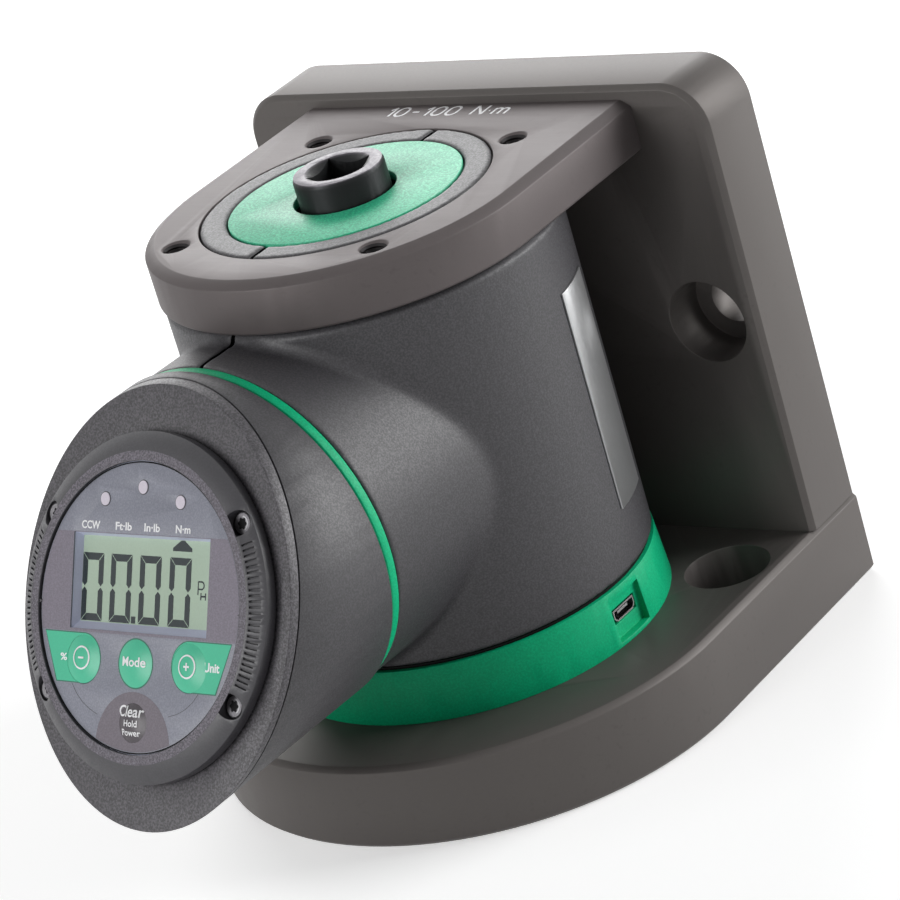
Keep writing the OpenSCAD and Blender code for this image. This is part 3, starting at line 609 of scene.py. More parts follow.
@dataclass
class Effects:
    """Node groups that several finishes share.

    Attributes:
        grain: Rounded bumps of moulded plastic.
        painted_grain_light: Painted light on a grain: paler crests as painted sheen and darker hollows as
            painted shade.
        drift: Slow change of tone.
        brushing: Fine lines that grinding leaves.
        specks: Sparse fine marks.
    """

    grain: bpy.types.NodeTree = field(init=False)
    painted_grain_light: bpy.types.NodeTree = field(init=False)
    drift: bpy.types.NodeTree = field(init=False)
    brushing: bpy.types.NodeTree = field(init=False)
    specks: bpy.types.NodeTree = field(init=False)

    def __post_init__(self) -> None:
        """Builds every group."""
        self.grain = self.build_grain()
        self.painted_grain_light = self.build_painted_grain_light()
        self.drift = self.build_drift()
        self.brushing = self.build_brushing()
        self.specks = self.build_specks()

    def build_grain(self) -> bpy.types.NodeTree:
        """Builds the spark-eroded grain of moulded plastic: rounded bumps of mixed size.

        Returns:
            The group, with the outputs Height and Crest.
        """
        group, w, given, result = new_group(
            "moulded_grain",
            {"Vector": (VECTOR, None), "Scale": (FLOAT, 2000.0)},
            {"Height": FLOAT, "Crest": FLOAT},
        )
        where, scale = given.outputs["Vector"], given.outputs["Scale"]
        coarse = w.add("ShaderNodeTexNoise", Vector=where, Scale=scale, Detail=2.0, Roughness=0.6)
        finer = w.maths("MULTIPLY", scale, 1.9)
        cells = w.add("ShaderNodeTexVoronoi", {"feature": "SMOOTH_F1"}, Vector=where, Scale=finer)
        dome = w.maths("SUBTRACT", 1.0, cells.outputs["Distance"])
        height = w.maths("MULTIPLY_ADD", coarse.outputs[0], 0.65, w.maths("MULTIPLY", dome, 0.35))
        w.feed(result.inputs["Height"], height)
        w.feed(result.inputs["Crest"], w.span(coarse.outputs[0], 0.4, 0.66, 0.0, 1.0))
        return group

    def build_painted_grain_light(self) -> bpy.types.NodeTree:
        """Builds painted light on a grain: paler crests as painted sheen and darker hollows as painted shade.

        Returns:
            The group, with the output Color.
        """
        group, w, given, result = new_group(
            "grain_painted_light",
            {"Color": (COLOUR, None), "Crest": (FLOAT, 0.5), "Amount": (FLOAT, 0.5)},
            {"Color": COLOUR},
        )
        colour, amount = given.outputs["Color"], given.outputs["Amount"]
        # Painted light: crests made paler as sheen, hollows darker as shade.
        low = w.maths("MULTIPLY_ADD", amount, -0.45, 1.0)
        high = w.maths("MULTIPLY_ADD", amount, 1.3, 1.0)
        rise = w.maths("SUBTRACT", high, low)
        value = w.maths("MULTIPLY_ADD", given.outputs["Crest"], rise, low)
        tone = w.add("ShaderNodeHueSaturation", Color=colour, Value=value)
        w.feed(result.inputs["Color"], tone.outputs[0])
        return group

    def build_drift(self) -> bpy.types.NodeTree:
        """Builds a slow change of tone over a surface.

        Returns:
            The group, with the output Color.
        """
        group, w, given, result = new_group(
            "tone_drift",
            {
                "Vector": (VECTOR, None),
                "Color": (COLOUR, None),
                "Amount": (FLOAT, 0.1),
                "Scale": (FLOAT, 40.0),
            },
            {"Color": COLOUR},
        )
        cloud = w.add(
            "ShaderNodeTexNoise", Vector=given.outputs["Vector"], Scale=given.outputs["Scale"], Detail=3.0
        )
        swing = w.maths("SUBTRACT", cloud.outputs[0], 0.5)
        value = w.maths("MULTIPLY_ADD", swing, w.maths("MULTIPLY", given.outputs["Amount"], 2.0), 1.0)
        tone = w.add("ShaderNodeHueSaturation", Color=given.outputs["Color"], Value=value)
        w.feed(result.inputs["Color"], tone.outputs[0])
        return group

    def build_brushing(self) -> bpy.types.NodeTree:
        """Builds the fine lines that grinding leaves, long along one direction.

        Returns:
            The group, with the outputs Height and Streak.
        """
        group, w, given, result = new_group(
            "ground_lines",
            {"Vector": (VECTOR, None), "Stretch": (VECTOR, (1.0, 20.0, 20.0)), "Scale": (FLOAT, 90.0)},
            {"Height": FLOAT, "Streak": FLOAT},
        )
        drawn = w.add("ShaderNodeVectorMath", {"operation": "MULTIPLY"})
        w.feed(drawn.inputs[0], given.outputs["Vector"])
        w.feed(drawn.inputs[1], given.outputs["Stretch"])
        lines = w.add(
            "ShaderNodeTexNoise",
            Vector=drawn.outputs[0],
            Scale=given.outputs["Scale"],
            Detail=4.0,
            Roughness=0.7,
        )
        w.feed(result.inputs["Height"], lines.outputs[0])
        w.feed(result.inputs["Streak"], w.span(lines.outputs[0], 0.35, 0.7, 0.0, 1.0))
        return group

    def build_specks(self) -> bpy.types.NodeTree:
        """Builds sparse fine marks: dust, tiny dents and rub spots.

        Returns:
            The group, with the output Mask.
        """
        group, w, given, result = new_group(
            "rub_specks",
            {"Vector": (VECTOR, None), "Scale": (FLOAT, 600.0), "Amount": (FLOAT, 0.2)},
            {"Mask": FLOAT},
        )
        where = given.outputs["Vector"]
        spots = w.add("ShaderNodeTexNoise", Vector=where, Scale=given.outputs["Scale"], Detail=1.0)
        patches = w.add("ShaderNodeTexNoise", Vector=where, Scale=55.0, Detail=2.0)
        fine = w.span(spots.outputs[0], 0.62, 0.75, 0.0, 1.0)
        wide = w.span(patches.outputs[0], 0.45, 0.65, 0.0, 1.0)
        both = w.maths("MULTIPLY", fine, wide)
        w.feed(result.inputs["Mask"], w.maths("MULTIPLY", both, given.outputs["Amount"]))
        return group


EFFECTS = Effects()


def start_material(name: str) -> tuple[bpy.types.Material, Wiring, bpy.types.Node, Socket]:
    """Starts a material with a Principled shader.

    Args:
        name: Name of the material.

    Returns:
        The material, its wiring, its shader and the object coordinates.
    """
    material = bpy.data.materials.new(name)
    material.use_nodes = True
    w = Wiring(material.node_tree)
    shader = material.node_tree.nodes["Principled BSDF"]
    where = w.add("ShaderNodeTexCoord").outputs["Object"]
    return material, w, shader, where


def grouped(w: Wiring, group: bpy.types.NodeTree, **inputs: object) -> bpy.types.Node:
    """Adds a node group to a material.

    Args:
        w: Wiring of the material.
        group: The group.
        **inputs: Values or sockets for its inputs.

    Returns:
        The group's node.
    """
    node = w.add("ShaderNodeGroup", {"node_tree": group})
    for key, value in inputs.items():
        w.feed(node.inputs[key], value)
    return node


def relieve(w: Wiring, shader: bpy.types.Node, height: Socket, depth: float, strength: float) -> None:
    """Gives a material a relief.

    Args:
        w: Wiring of the material.
        shader: Its shader.
        height: Pattern of the relief.
        depth: Height of the relief in millimetres.
        strength: Share of it that shows.
    """
    bump = w.add("ShaderNodeBump", Strength=strength, Distance=depth * MM, Height=height)
    w.feed(shader.inputs["Normal"], bump.outputs[0])


def grained_tone(w: Wiring, where: Socket, crest: Socket, finish: "Moulded | Print") -> Socket:
    """Gives a finish's colour with the painted light on its grain and its slow change of tone.

    Args:
        w: Wiring of the material.
        where: Object coordinates.
        crest: Crests of the grain.
        finish: The finish, for its colour, painted grain light, drift and cloud.

    Returns:
        The colour.
    """
    # Painted light: the grain's crests are made paler as sheen and its hollows darker as shade.
    painted_light_node = grouped(w, EFFECTS.painted_grain_light, Color=finish.colour, Crest=crest, Amount=finish.painted_grain_light)
    painted_light_colour = painted_light_node.outputs[0]
    tone = grouped(w, EFFECTS.drift, Vector=where, Color=painted_light_colour, Amount=finish.drift, Scale=finish.cloud)
    return tone.outputs[0]


@dataclass(frozen=True)
class Moulded:
    """Plastic with a moulded grain.

    Attributes:
        name: Name of the material.
        colour: Its colour.
        rough: Roughness between the grain's crests.
        scale: Fineness of the grain, in bumps over a metre.
        depth: Height of the grain in millimetres.
        painted_grain_light: How far the grain's crests are painted paler, as sheen, and its hollows darker,
            as shade.
        drift: Slow change of tone.
        ior: Index of refraction, which sets the sheen.
        cloud: Fineness of the slow change of tone.
    """

    name: str
    colour: Colour
    rough: float = 0.5
    scale: float = 2600.0
    depth: float = 0.05
    painted_grain_light: float = 0.45
    drift: float = 0.06
    ior: float = 1.5
    cloud: float = 35.0

    def make(self) -> bpy.types.Material:
        """Builds the material.

        Returns:
            The material.
        """
        material, w, shader, where = start_material(self.name)
        grain = grouped(w, EFFECTS.grain, Vector=where, Scale=self.scale)
        crest = grain.outputs["Crest"]
        specks = grouped(w, EFFECTS.specks, Vector=where, Scale=900.0, Amount=0.5)
        w.feed(shader.inputs["Base Color"], grained_tone(w, where, crest, self))
        gloss = w.maths("MULTIPLY_ADD", crest, -0.1, self.rough + 0.03)
        w.feed(shader.inputs["Roughness"], w.maths("MULTIPLY_ADD", specks.outputs[0], 0.12, gloss))
        relieve(w, shader, grain.outputs["Height"], self.depth, 0.6)
        shader.inputs["IOR"].default_value = self.ior
        return material


@dataclass(frozen=True)
class Ground:
    """Burnished steel with ground faces.

    Attributes:
        name: Name of the material.
        colour: Its colour.
        rough: Its roughness.
        stretch: How the lines are drawn out along each axis.
        metal: How metallic it is.
        lines: Height of the lines in millimetres.
        drift: Slow change of tone.
    """

    name: str
    colour: Colour
    rough: float = 0.5
    stretch: tuple[float, float, float] = (1.0, 14.0, 14.0)
    metal: float = 0.3
    lines: float = 0.006
    drift: float = 0.07

    def make(self) -> bpy.types.Material:
        """Builds the material.

        Returns:
            The material.
        """
        material, w, shader, where = start_material(self.name)
        lines = grouped(w, EFFECTS.brushing, Vector=where, Stretch=self.stretch, Scale=110.0)
        tone = grouped(w, EFFECTS.drift, Vector=where, Color=self.colour, Amount=self.drift, Scale=28.0)
        specks = grouped(w, EFFECTS.specks, Vector=where, Scale=700.0, Amount=0.6)
        pale, dark = (tuple(part * share for part in self.colour) for share in (1.3, 0.6))
        streaked = w.blend(w.maths("MULTIPLY", lines.outputs["Streak"], 0.16), tone.outputs[0], pale)
        marked = w.blend(w.maths("MULTIPLY", specks.outputs[0], 0.35), streaked, dark)
        w.feed(shader.inputs["Base Color"], marked)
        shader.inputs["Metallic"].default_value = self.metal
        shader.inputs["Specular IOR Level"].default_value = 0.2
        gloss = w.maths("MULTIPLY_ADD", lines.outputs["Streak"], 0.06, self.rough - 0.02)
        w.feed(shader.inputs["Roughness"], gloss)
        relieve(w, shader, lines.outputs["Height"], self.lines, 0.5)
        return material


@dataclass(frozen=True)
class Oxide:
    """Blackened steel that turns to a paler steel colour above a given height.

    Attributes:
        name: Name of the material.
        colour: Colour of the oxide.
        bright: Colour above that height, a paler steel.
        pale_low: Height in metres where the paler colour begins.
        pale_high: Height in metres where it is complete.
    """

    name: str
    colour: Colour
    bright: Colour
    pale_low: float = 10.0
    pale_high: float = 11.0

    def make(self) -> bpy.types.Material:
        """Builds the material.

        Returns:
            The material.
        """
        material, w, shader, where = start_material(self.name)
        grain = grouped(w, EFFECTS.grain, Vector=where, Scale=1500.0)
        tone = grouped(w, EFFECTS.drift, Vector=where, Color=self.colour, Amount=0.15, Scale=120.0)
        split = w.add("ShaderNodeSeparateXYZ", Vector=where)
        upper_share = w.span(split.outputs["Z"], self.pale_low, self.pale_high, 0.0, 1.0)
        patchy = w.maths("MULTIPLY", upper_share, w.span(grain.outputs["Height"], 0.3, 0.6, 0.8, 1.0))
        w.feed(shader.inputs["Base Color"], w.blend(patchy, tone.outputs[0], self.bright))
        shader.inputs["Metallic"].default_value = 0.8
        w.feed(shader.inputs["Roughness"], w.maths("MULTIPLY_ADD", grain.outputs["Crest"], -0.1, 0.45))
        relieve(w, shader, grain.outputs["Height"], 0.02, 0.4)
        return material


@dataclass(frozen=True)
class Print:
    """Ink, film or foil: an even layer with a faint texture.

    Attributes:
        name: Name of the material.
        colour: Its colour.
        rough: Its roughness.
        depth: Height of the texture in millimetres.
        scale: Fineness of the texture.
        drift: Slow change of tone.
        metal: How metallic it is.
        painted_grain_light: How far its grain's crests are painted paler, as sheen, and its hollows darker,
            as shade.
        cloud: Fineness of the slow change of tone.
    """

    name: str
    colour: Colour
    rough: float = 0.4
    depth: float = 0.01
    scale: float = 3000.0
    drift: float = 0.04
    metal: float = 0.0
    painted_grain_light: float = 0.03
    cloud: float = 60.0

    def make(self) -> bpy.types.Material:
        """Builds the material.

        Returns:
            The material.
        """
        material, w, shader, where = start_material(self.name)
        grain = grouped(w, EFFECTS.grain, Vector=where, Scale=self.scale)
        w.feed(shader.inputs["Base Color"], grained_tone(w, where, grain.outputs["Crest"], self))
        gloss = w.maths("MULTIPLY_ADD", grain.outputs["Height"], 0.12, self.rough - 0.06)
        w.feed(shader.inputs["Roughness"], gloss)
        shader.inputs["Metallic"].default_value = self.metal
        relieve(w, shader, grain.outputs["Height"], self.depth, 0.5)
        return material


class Finishes:
    """Every material of the tester, made once."""

    def __init__(self) -> None:
        """Builds the materials."""
        steel = srgb(95, 91, 89)
        self.steel_base = Ground("base_steel", steel, stretch=(1.0, 14.0, 14.0)).make()
        self.steel_back = Ground("back_steel", steel, stretch=(14.0, 14.0, 1.0)).make()
        self.steel_top = Ground("top_steel", srgb(96, 90, 90), stretch=(1.0, 14.0, 14.0)).make()
        self.thread = Ground("thread_steel", srgb(46, 44, 45), rough=0.55).make()
        self.oxide = Oxide("screw_oxide", srgb(38, 38, 40), srgb(120, 120, 122)).make()
        self.drive = Oxide("drive_oxide", srgb(34, 35, 36), srgb(80, 77, 82), 0.1211, 0.1214).make()
        self.bright = Ground("plain_steel", srgb(176, 176, 178), rough=0.3, metal=1.0).make()
        self.shell = Moulded("shell_plastic", srgb(57, 56, 59)).make()
        self.head = Moulded("head_plastic", srgb(57, 56, 59)).make()
        self.collar = Moulded("collar_plastic", srgb(62, 60, 64), scale=2300.0, depth=0.07, painted_grain_light=0.9).make()
        self.rim = Moulded("rim_plastic", srgb(86, 82, 90), scale=2900.0, depth=0.06, painted_grain_light=0.8).make()
        self.bezel = Moulded("bezel_plastic", srgb(62, 61, 65), depth=0.02, painted_grain_light=0.12, rough=0.42).make()
        self.green = Moulded("green_plastic", srgb(0, 176, 122), painted_grain_light=0.14, depth=0.03, ior=1.3).make()
        # The green plastic made paler and greyer: its colour with a painted sheen mixed in.
        self.disc = Moulded("disc_plastic_with_painted_sheen", srgb(50, 184, 140), painted_grain_light=0.3, depth=0.04, ior=1.6).make()
        # Black plastic of the glide ring and small parts; also painted shade in the film's gap and the
        # screws' recesses.
        self.black = Moulded("black_slide", srgb(10, 10, 11), painted_grain_light=0.0, ior=1.2).make()
        # Near black with almost no sheen: painted shade in the housing seam's groove.
        self.seam = Moulded("seam_painted_shade", srgb(8, 8, 9), painted_grain_light=0.0, ior=1.05).make()
        self.inner = Moulded("inner_plastic", srgb(50, 50, 52)).make()
        self.panel = Print("panel_plastic", srgb(196, 200, 222), rough=0.45).make()
        self.film = Print("film_grey", srgb(132, 134, 146), rough=0.42, depth=0.015, painted_grain_light=0.16).make()
        self.film_band = Print("film_band", srgb(120, 114, 126), rough=0.42, depth=0.015, painted_grain_light=0.16).make()
        self.lens_zone = Print("film_dark", srgb(110, 103, 112), rough=0.4, depth=0.015, painted_grain_light=0.16).make()
        self.lens_key = Print("key_dark", srgb(70, 64, 70), rough=0.36, depth=0.015, painted_grain_light=0.16).make()
        self.key = Print("key_green", srgb(72, 196, 156), rough=0.33, depth=0.008).make()
        self.white_ink = Print("white_ink", srgb(246, 246, 248), rough=0.5).make()
        self.dark_ink = Print("dark_ink", srgb(66, 66, 72), rough=0.5).make()
        self.lcd = Print("lcd_ground", srgb(176, 196, 176), rough=0.22, depth=0.002, drift=0.06).make()
        self.segments = Print("lcd_segments", srgb(24, 38, 42), rough=0.25, depth=0.002).make()
        self.key_edge = Print("key_outline", srgb(36, 110, 88), rough=0.4).make()
        self.lens = Print("led_lens", srgb(222, 214, 226), rough=0.25, depth=0.004).make()
        self.label = Print("label_foil", srgb(172, 173, 174), rough=0.3, metal=0.7, scale=900.0).make()
        self.shell_metal = Print("socket_shell", srgb(190, 190, 192), rough=0.22, metal=1.0).make()
        self.board = Print("solder_mask", srgb(20, 92, 58), rough=0.35).make()
        self.brass = Print("spacer_brass", srgb(190, 160, 90), rough=0.3, metal=1.0).make()
        self.amber = Print("gauge_film", srgb(196, 138, 62), rough=0.35).make()
        self.sleeve = Print("cell_sleeve", srgb(40, 84, 140), rough=0.3).make()
        self.natural = Moulded("natural_plastic", srgb(222, 222, 218), painted_grain_light=0.0, depth=0.01).make()
        self.screw_face = Print("screw_face", srgb(124, 122, 126), rough=0.35, metal=0.7, painted_grain_light=0.2).make()


# Sub-assemblies


@dataclass
class Engraving:
    """Single-stroke engraved letters, with sizes as shares of the capital height.

    Attributes:
        cap: Height of a capital letter, in millimetres.
        line: Width of the cut line.
        space: Space between letters.
        blank: Width of a space in the text.
    """

    cap: float = 4.2
    line: float = 0.6
    space: float = 0.28
    blank: float = 0.45

    def glyph(self, letter: str) -> tuple[float, list]:
        """Draws one letter.

        Args:
            letter: The letter.

        Returns:
            Its width and its strokes.
        """
        if letter == "1":
            return 0.26, [[(0.0, 0.72), (0.26, 1.0)], [(0.26, 1.0), (0.26, 0.0)]]
        if letter == "0":
            top, low = arc(0.31, 0.66, 0.31, 0.34, 0, 180), arc(0.31, 0.34, 0.31, 0.34, 180, 180)
            return 0.62, [[*top, *low, top[0]]]
        if letter == "-":
            return 0.6, [[(0.12, 0.45), (0.52, 0.45)]]
        if letter == "N":
            return 0.68, [[(0.0, 0.0), (0.0, 1.0)], [(0.0, 1.0), (0.68, 0.0)], [(0.68, 0.0), (0.68, 1.0)]]
        if letter == "·":
            return 0.06, [[(0.0, 0.4), (0.06, 0.4)]]
        if letter == "m":
            humps = [[(x, 0.0), *arc(x - 0.2, 0.48, 0.2, 0.2, 0, 180)] for x in (0.4, 0.8)]
            return 0.8, [[(0.0, 0.0), (0.0, 0.68)], *humps]
        return self.blank, []

    def write(
        self, bm: bmesh.types.BMesh, text: str, x: float, y: float, height: float, width: float
    ) -> None:
        """Writes a text, stretched to a width.

        Args:
            bm: Mesh that takes the strokes.
            text: The text.
            x: Its left end.
            y: Its baseline.
            height: Height above the frame's plane.
            width: Its width.
        """
        lines, along = [], 0.0
        for letter in text:
            wide, drawn = self.glyph(letter)
            lines += [[(along + px, py) for px, py in line] for line in drawn]
            along += wide + self.space
        grow = width / (along - self.space)
        placed = [[(x + px * grow, y + py * self.cap) for px, py in line] for line in lines]
        strokes(bm, placed, self.line, height)


@dataclass
class Fixture:
    """The three steel plates with their screws and tapped holes.

    Attributes:
        rounding: Rounding of the plates' edges, in millimetres.
        top_face: Height of the top plate's upper face.
        top_t: Thickness of the top plate.
        tap_place: Distance of each tapped hole from the tower axis along X and Y.
        thread_r: Radius where the thread's flanks meet the core.
        thread_depth: Depth of the flanks.
        thread_pitch: Pitch of the thread.
        thread_turns: Number of turns.
        thread_steps: Steps in a turn.
        thread_start: Height of the first turn above the plate's lower face.
        thread_flank: Height of a flank.
        mark_span: Left and right end of the range mark.
        mark_y: Baseline of the range mark.
    """

    rounding: float = 0.16
    top_face: float = 115.9
    top_t: float = 11.0
    tap_place: float = 24.749
    thread_r: float = 2.52
    thread_depth: float = 0.36
    thread_pitch: float = 1.0
    thread_turns: float = 9.75
    thread_steps: int = 24
    thread_start: float = 0.8
    thread_flank: float = 0.48
    mark_span: tuple[float, float] = (-16.5, 14.2)
    mark_y: float = 36.9

    def build(self, finishes: Finishes) -> None:
        """Builds the plates and the threads.

        Args:
            finishes: Materials of the tester.
        """
        softened("base_plate", self.rounding, finishes.steel_base)
        softened("back_plate", self.rounding, finishes.steel_back)
        softened("top_plate", self.rounding, finishes.steel_top)
        self.build_threads(finishes.thread)
        self.build_range_mark(finishes.white_ink)

    def build_threads(self, finish: bpy.types.Material) -> None:
        """Winds a thread in each tapped hole.

        Args:
            finish: Material of the threads.
        """
        bm = bmesh.new()
        start = self.top_face - self.top_t + self.thread_start
        for x, y in ((1, 1), (-1, 1), (-1, -1), (1, -1)):
            centre = Vector((x * self.tap_place, y * self.tap_place, 0))
            low, high = -self.thread_flank, self.thread_flank
            flanks = ((self.thread_r, low), (self.thread_r - self.thread_depth, 0.0), (self.thread_r, high))
            corners = [bm.verts.new(centre + Vector((r, 0, start + z))) for r, z in flanks]
            edges = [bm.edges.new(pair) for pair in zip(corners, corners[1:])]
            bmesh.ops.spin(
                bm,
                geom=[*corners, *edges],
                cent=centre,
                axis=(0, 0, 1),
                dvec=(0, 0, self.thread_pitch / self.thread_steps),
                angle=math.radians(360 * self.thread_turns),
                steps=round(self.thread_steps * self.thread_turns),
            )
        settle(bm, "tapped_threads", Body.BASE, finish)

    def build_range_mark(self, finish: bpy.types.Material) -> None:
        """Marks the measuring range on the top plate.

        Args:
            finish: Material of the mark.
        """
        bm = bmesh.new()
        left, right = self.mark_span
        Engraving().write(bm, "10-100 N·m", left, self.mark_y, self.top_face, right - left)
        settle(bm, "range_mark", Body.BASE, finish)

    def dress(self, finishes: Finishes) -> None:
        """Gives the carried-over nodes their materials.

        Args:
            finishes: Materials of the tester.
        """
        for node in ("top_plate_screws", "back_plate_screws", "transducer_screws"):
            dress(node, finishes.oxide)
        for node in ("dowel_pins", "base_ring_screws", "board_screws"):
            dress(node, finishes.bright)
        dress("strain_gauges", finishes.amber)
        dress("gauge_board", finishes.board)
        dress("gauge_board_parts", finishes.black)
        dress("board_spacers", finishes.brass)


@dataclass
class Tower:
    """The swivelling housing, its green rings and the drive head.

    Attributes:
        voxel: Size of the remesh that rounds the shells, in millimetres.
        housing_r: Outer radius of the housing.
        neck_r: Outer radius of the neck.
        blend_reach: Width of the soft crease between the neck and the housing.
        blend_depth: Depth under the outside that moves with it.
        blend_clear: Distance from the middle that stays for the seam.
        blend_rounds: Rounds of smoothing in the crease.
        collar_low: Height above which only the collar stands.
        collar_top: Height of the collar's upper face.
        collar_seam_deep: Depth of the groove in the collar.
        seam_half: Half the width of the seam's groove.
        seam_slope: Width of each wall of that groove.
        seam_deep: Depth of that groove.
        disc_rounding: Rounding of the cover disc's edges.
        ring_rounding: Rounding of the neck ring's edges.
        base_ring_rounding: Rounding of the base ring's edges.
        label_rounding: Rounding of the label plate's edges.
        drive_rounding: Rounding of the drive head's edges.
    """

    voxel: float = 0.55
    housing_r: float = 40.9
    neck_r: float = 36.0
    blend_reach: float = 1.7
    blend_depth: float = 0.4
    blend_clear: float = 1.0
    blend_rounds: int = 24
    collar_low: float = 106.0
    collar_top: float = 116.0
    collar_seam_deep: float = 2.0
    seam_half: float = 0.5
    seam_slope: float = 0.08
    seam_deep: float = 1.3
    disc_rounding: float = 0.2
    ring_rounding: float = 0.12
    base_ring_rounding: float = 0.22
    label_rounding: float = 0.06
    drive_rounding: float = 0.22

    def build(self, finishes: Finishes) -> None:
        """Builds the housing and its rings.

        Args:
            finishes: Materials of the tester.
        """
        for node in ("housing_right", "housing_left"):
            self.build_shell(node, finishes)
        softened("cover_disc", self.disc_rounding, finishes.disc)
        softened("neck_ring", self.ring_rounding, finishes.green)
        softened("base_ring", self.base_ring_rounding, finishes.green)
        softened("label_plate", self.label_rounding, finishes.label)
        softened("transducer", self.drive_rounding, finishes.drive)

    def skin(self, node: str) -> bpy.types.Object:
        """Covers a copy of a half shell with an even skin.

        Args:
            node: Name of the CAD node that it stands for.

        Returns:
            The new piece, still in millimetres.
        """
        bm = copied(node)
        bmesh.ops.transform(bm, matrix=Matrix.Scale(1 / MM, 4), verts=bm.verts)
        bmesh.ops.triangulate(bm, faces=bm.faces)
        mesh = bpy.data.meshes.new(node + "_blended")
        bm.to_mesh(mesh)
        bm.free()
        piece = linked(node + "_blended", mesh)
        remesh = piece.modifiers.new("skin", "REMESH")
        remesh.mode = "VOXEL"
        remesh.voxel_size = self.voxel
        remesh.use_smooth_shade = True
        bpy.context.view_layer.update()
        evaluated = piece.evaluated_get(bpy.context.evaluated_depsgraph_get())
        shaped = bpy.data.meshes.new_from_object(evaluated)
        piece.modifiers.clear()
        piece.data = shaped
        bpy.data.meshes.remove(mesh)
        shaped.name = node + "_blended"
        return piece

    def build_shell(self, node: str, finishes: Finishes) -> None:
        """Softens the crease where the neck leaves a half shell and presses its seam in.

        Args:
            node: Name of the CAD node that it stands for.
            finishes: Materials of the tester.
        """
        piece = self.skin(node)
        shaped = piece.data
        bm = bmesh.new()
        bm.from_mesh(shaped)
        into = FRAMES.neck().inverted()
        crease = [v for v in bm.verts if self.in_crease(v.co, into @ v.co)]
        for _ in range(self.blend_rounds):
            bmesh.ops.smooth_vert(
                bm, verts=crease, factor=0.5, use_axis_x=True, use_axis_y=True, use_axis_z=True
            )
        self.press_seam(bm)
        bmesh.ops.transform(bm, matrix=Matrix.Scale(MM, 4), verts=bm.verts)
        shaped.materials.append(finishes.shell)
        shaped.materials.append(finishes.seam)
        bm.to_mesh(shaped)
        bm.free()
        shaped.shade_smooth()
        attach(piece, Body.HOUSING.value)
        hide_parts(node)
        LOG.info("blended %s with %d faces", node, len(shaped.polygons))

    def press_seam(self, bm: bmesh.types.BMesh) -> None:
        """Presses the seam's groove into the outside of a half shell and colours it near black as painted
        shade.

        Args:
            bm: Mesh of the half shell, in millimetres.
        """
        across = FRAMES.housing().to_3x3() @ Vector((1, 0, 0))
        into = FRAMES.neck().inverted()
        for side in (-1, 1):
            for place in (self.seam_half, self.seam_half - self.seam_slope):
                cut(bm, across * side * place, across)
        floor = self.seam_half - self.seam_slope / 2
        # Painted shade: the groove's faces take the near-black seam material.
        for face in bm.faces:
            middle = face.calc_center_median()
            if abs(middle.dot(across)) < self.seam_half and self.sink(middle, into @ middle).length > 0:
                face.material_index = 1
        for vert in bm.verts:
            if abs(vert.co.dot(across)) < floor:
                vert.co += self.sink(vert.co, into @ vert.co)

    def sink(self, spot: Vector, neck: Vector) -> Vector:
        """Gives the move that brings a point down to the floor of the seam's groove.

        Args:
            spot: The point, in millimetres.
            neck: The same point in the neck's frame.

        Returns:
            The move, or zero where the point already lies deeper.
        """
        flat, around = Vector((spot.x, spot.y, 0)), Vector((neck.x, neck.y, 0))
        if spot.z > self.collar_low:
            return Vector((0, 0, min(0.0, self.collar_top - self.collar_seam_deep - spot.z)))
        if neck.z > self.housing_r:
            over = around.length - (self.neck_r - self.seam_deep)
            return FRAMES.neck().to_3x3() @ around.normalized() * -max(0.0, over)
        return flat.normalized() * -max(0.0, flat.length - (self.housing_r - self.seam_deep))

    def in_crease(self, spot: Vector, neck: Vector) -> bool:
        """Tells whether a point lies in the outer crease between neck and housing.

        Args:
            spot: The point, in millimetres.
            neck: The same point in the neck's frame.

        Returns:
            True inside the crease's band.
        """
        from_tower = Vector((spot.x, spot.y)).length - self.housing_r
        from_neck = Vector((neck.x, neck.y)).length - self.neck_r
        outside = min(from_tower, from_neck) > -self.blend_depth and neck.z > 0
        near = max(from_tower, from_neck) < self.blend_reach
        return outside and near and abs(spot.x) > self.blend_clear

    def dress(self, finishes: Finishes) -> None:
        """Gives the carried-over nodes their materials.

        Args:
            finishes: Materials of the tester.
        """
        dress("glide_ring", finishes.black)
        dress("usb_socket", finishes.shell_metal)
        dress("usb_board", finishes.board)
        dress("housing_screws", finishes.oxide)
        dress("battery_holder", finishes.inner)
        dress("battery_cells", finishes.sleeve)


@dataclass
class Head:
    """The head that turns on the neck, with its collar plate.

    Attributes:
        shell_rounding: Rounding of the shell's edges, in millimetres.
        collar_rounding: Rounding of the collar plate's edges.
    """

    shell_rounding: float = 0.2
    collar_rounding: float = 0.3

    def build(self, finishes: Finishes) -> None:
        """Builds the visible shell and the collar.

        Args:
            finishes: Materials of the tester.
        """
        softened("head_shell", self.shell_rounding, finishes.head)
        softened("head_collar", self.collar_rounding, finishes.collar, segments=3)

    def dress(self, finishes: Finishes) -> None:
        """Gives the carried-over nodes their materials.

        Args:
            finishes: Materials of the tester.
        """
        for node in ("head_back", "head_nut"):
            dress(node, finishes.inner)
        for node in ("head_back_screws", "head_washer"):
            dress(node, finishes.bright)
        dress("display_glide", finishes.natural)


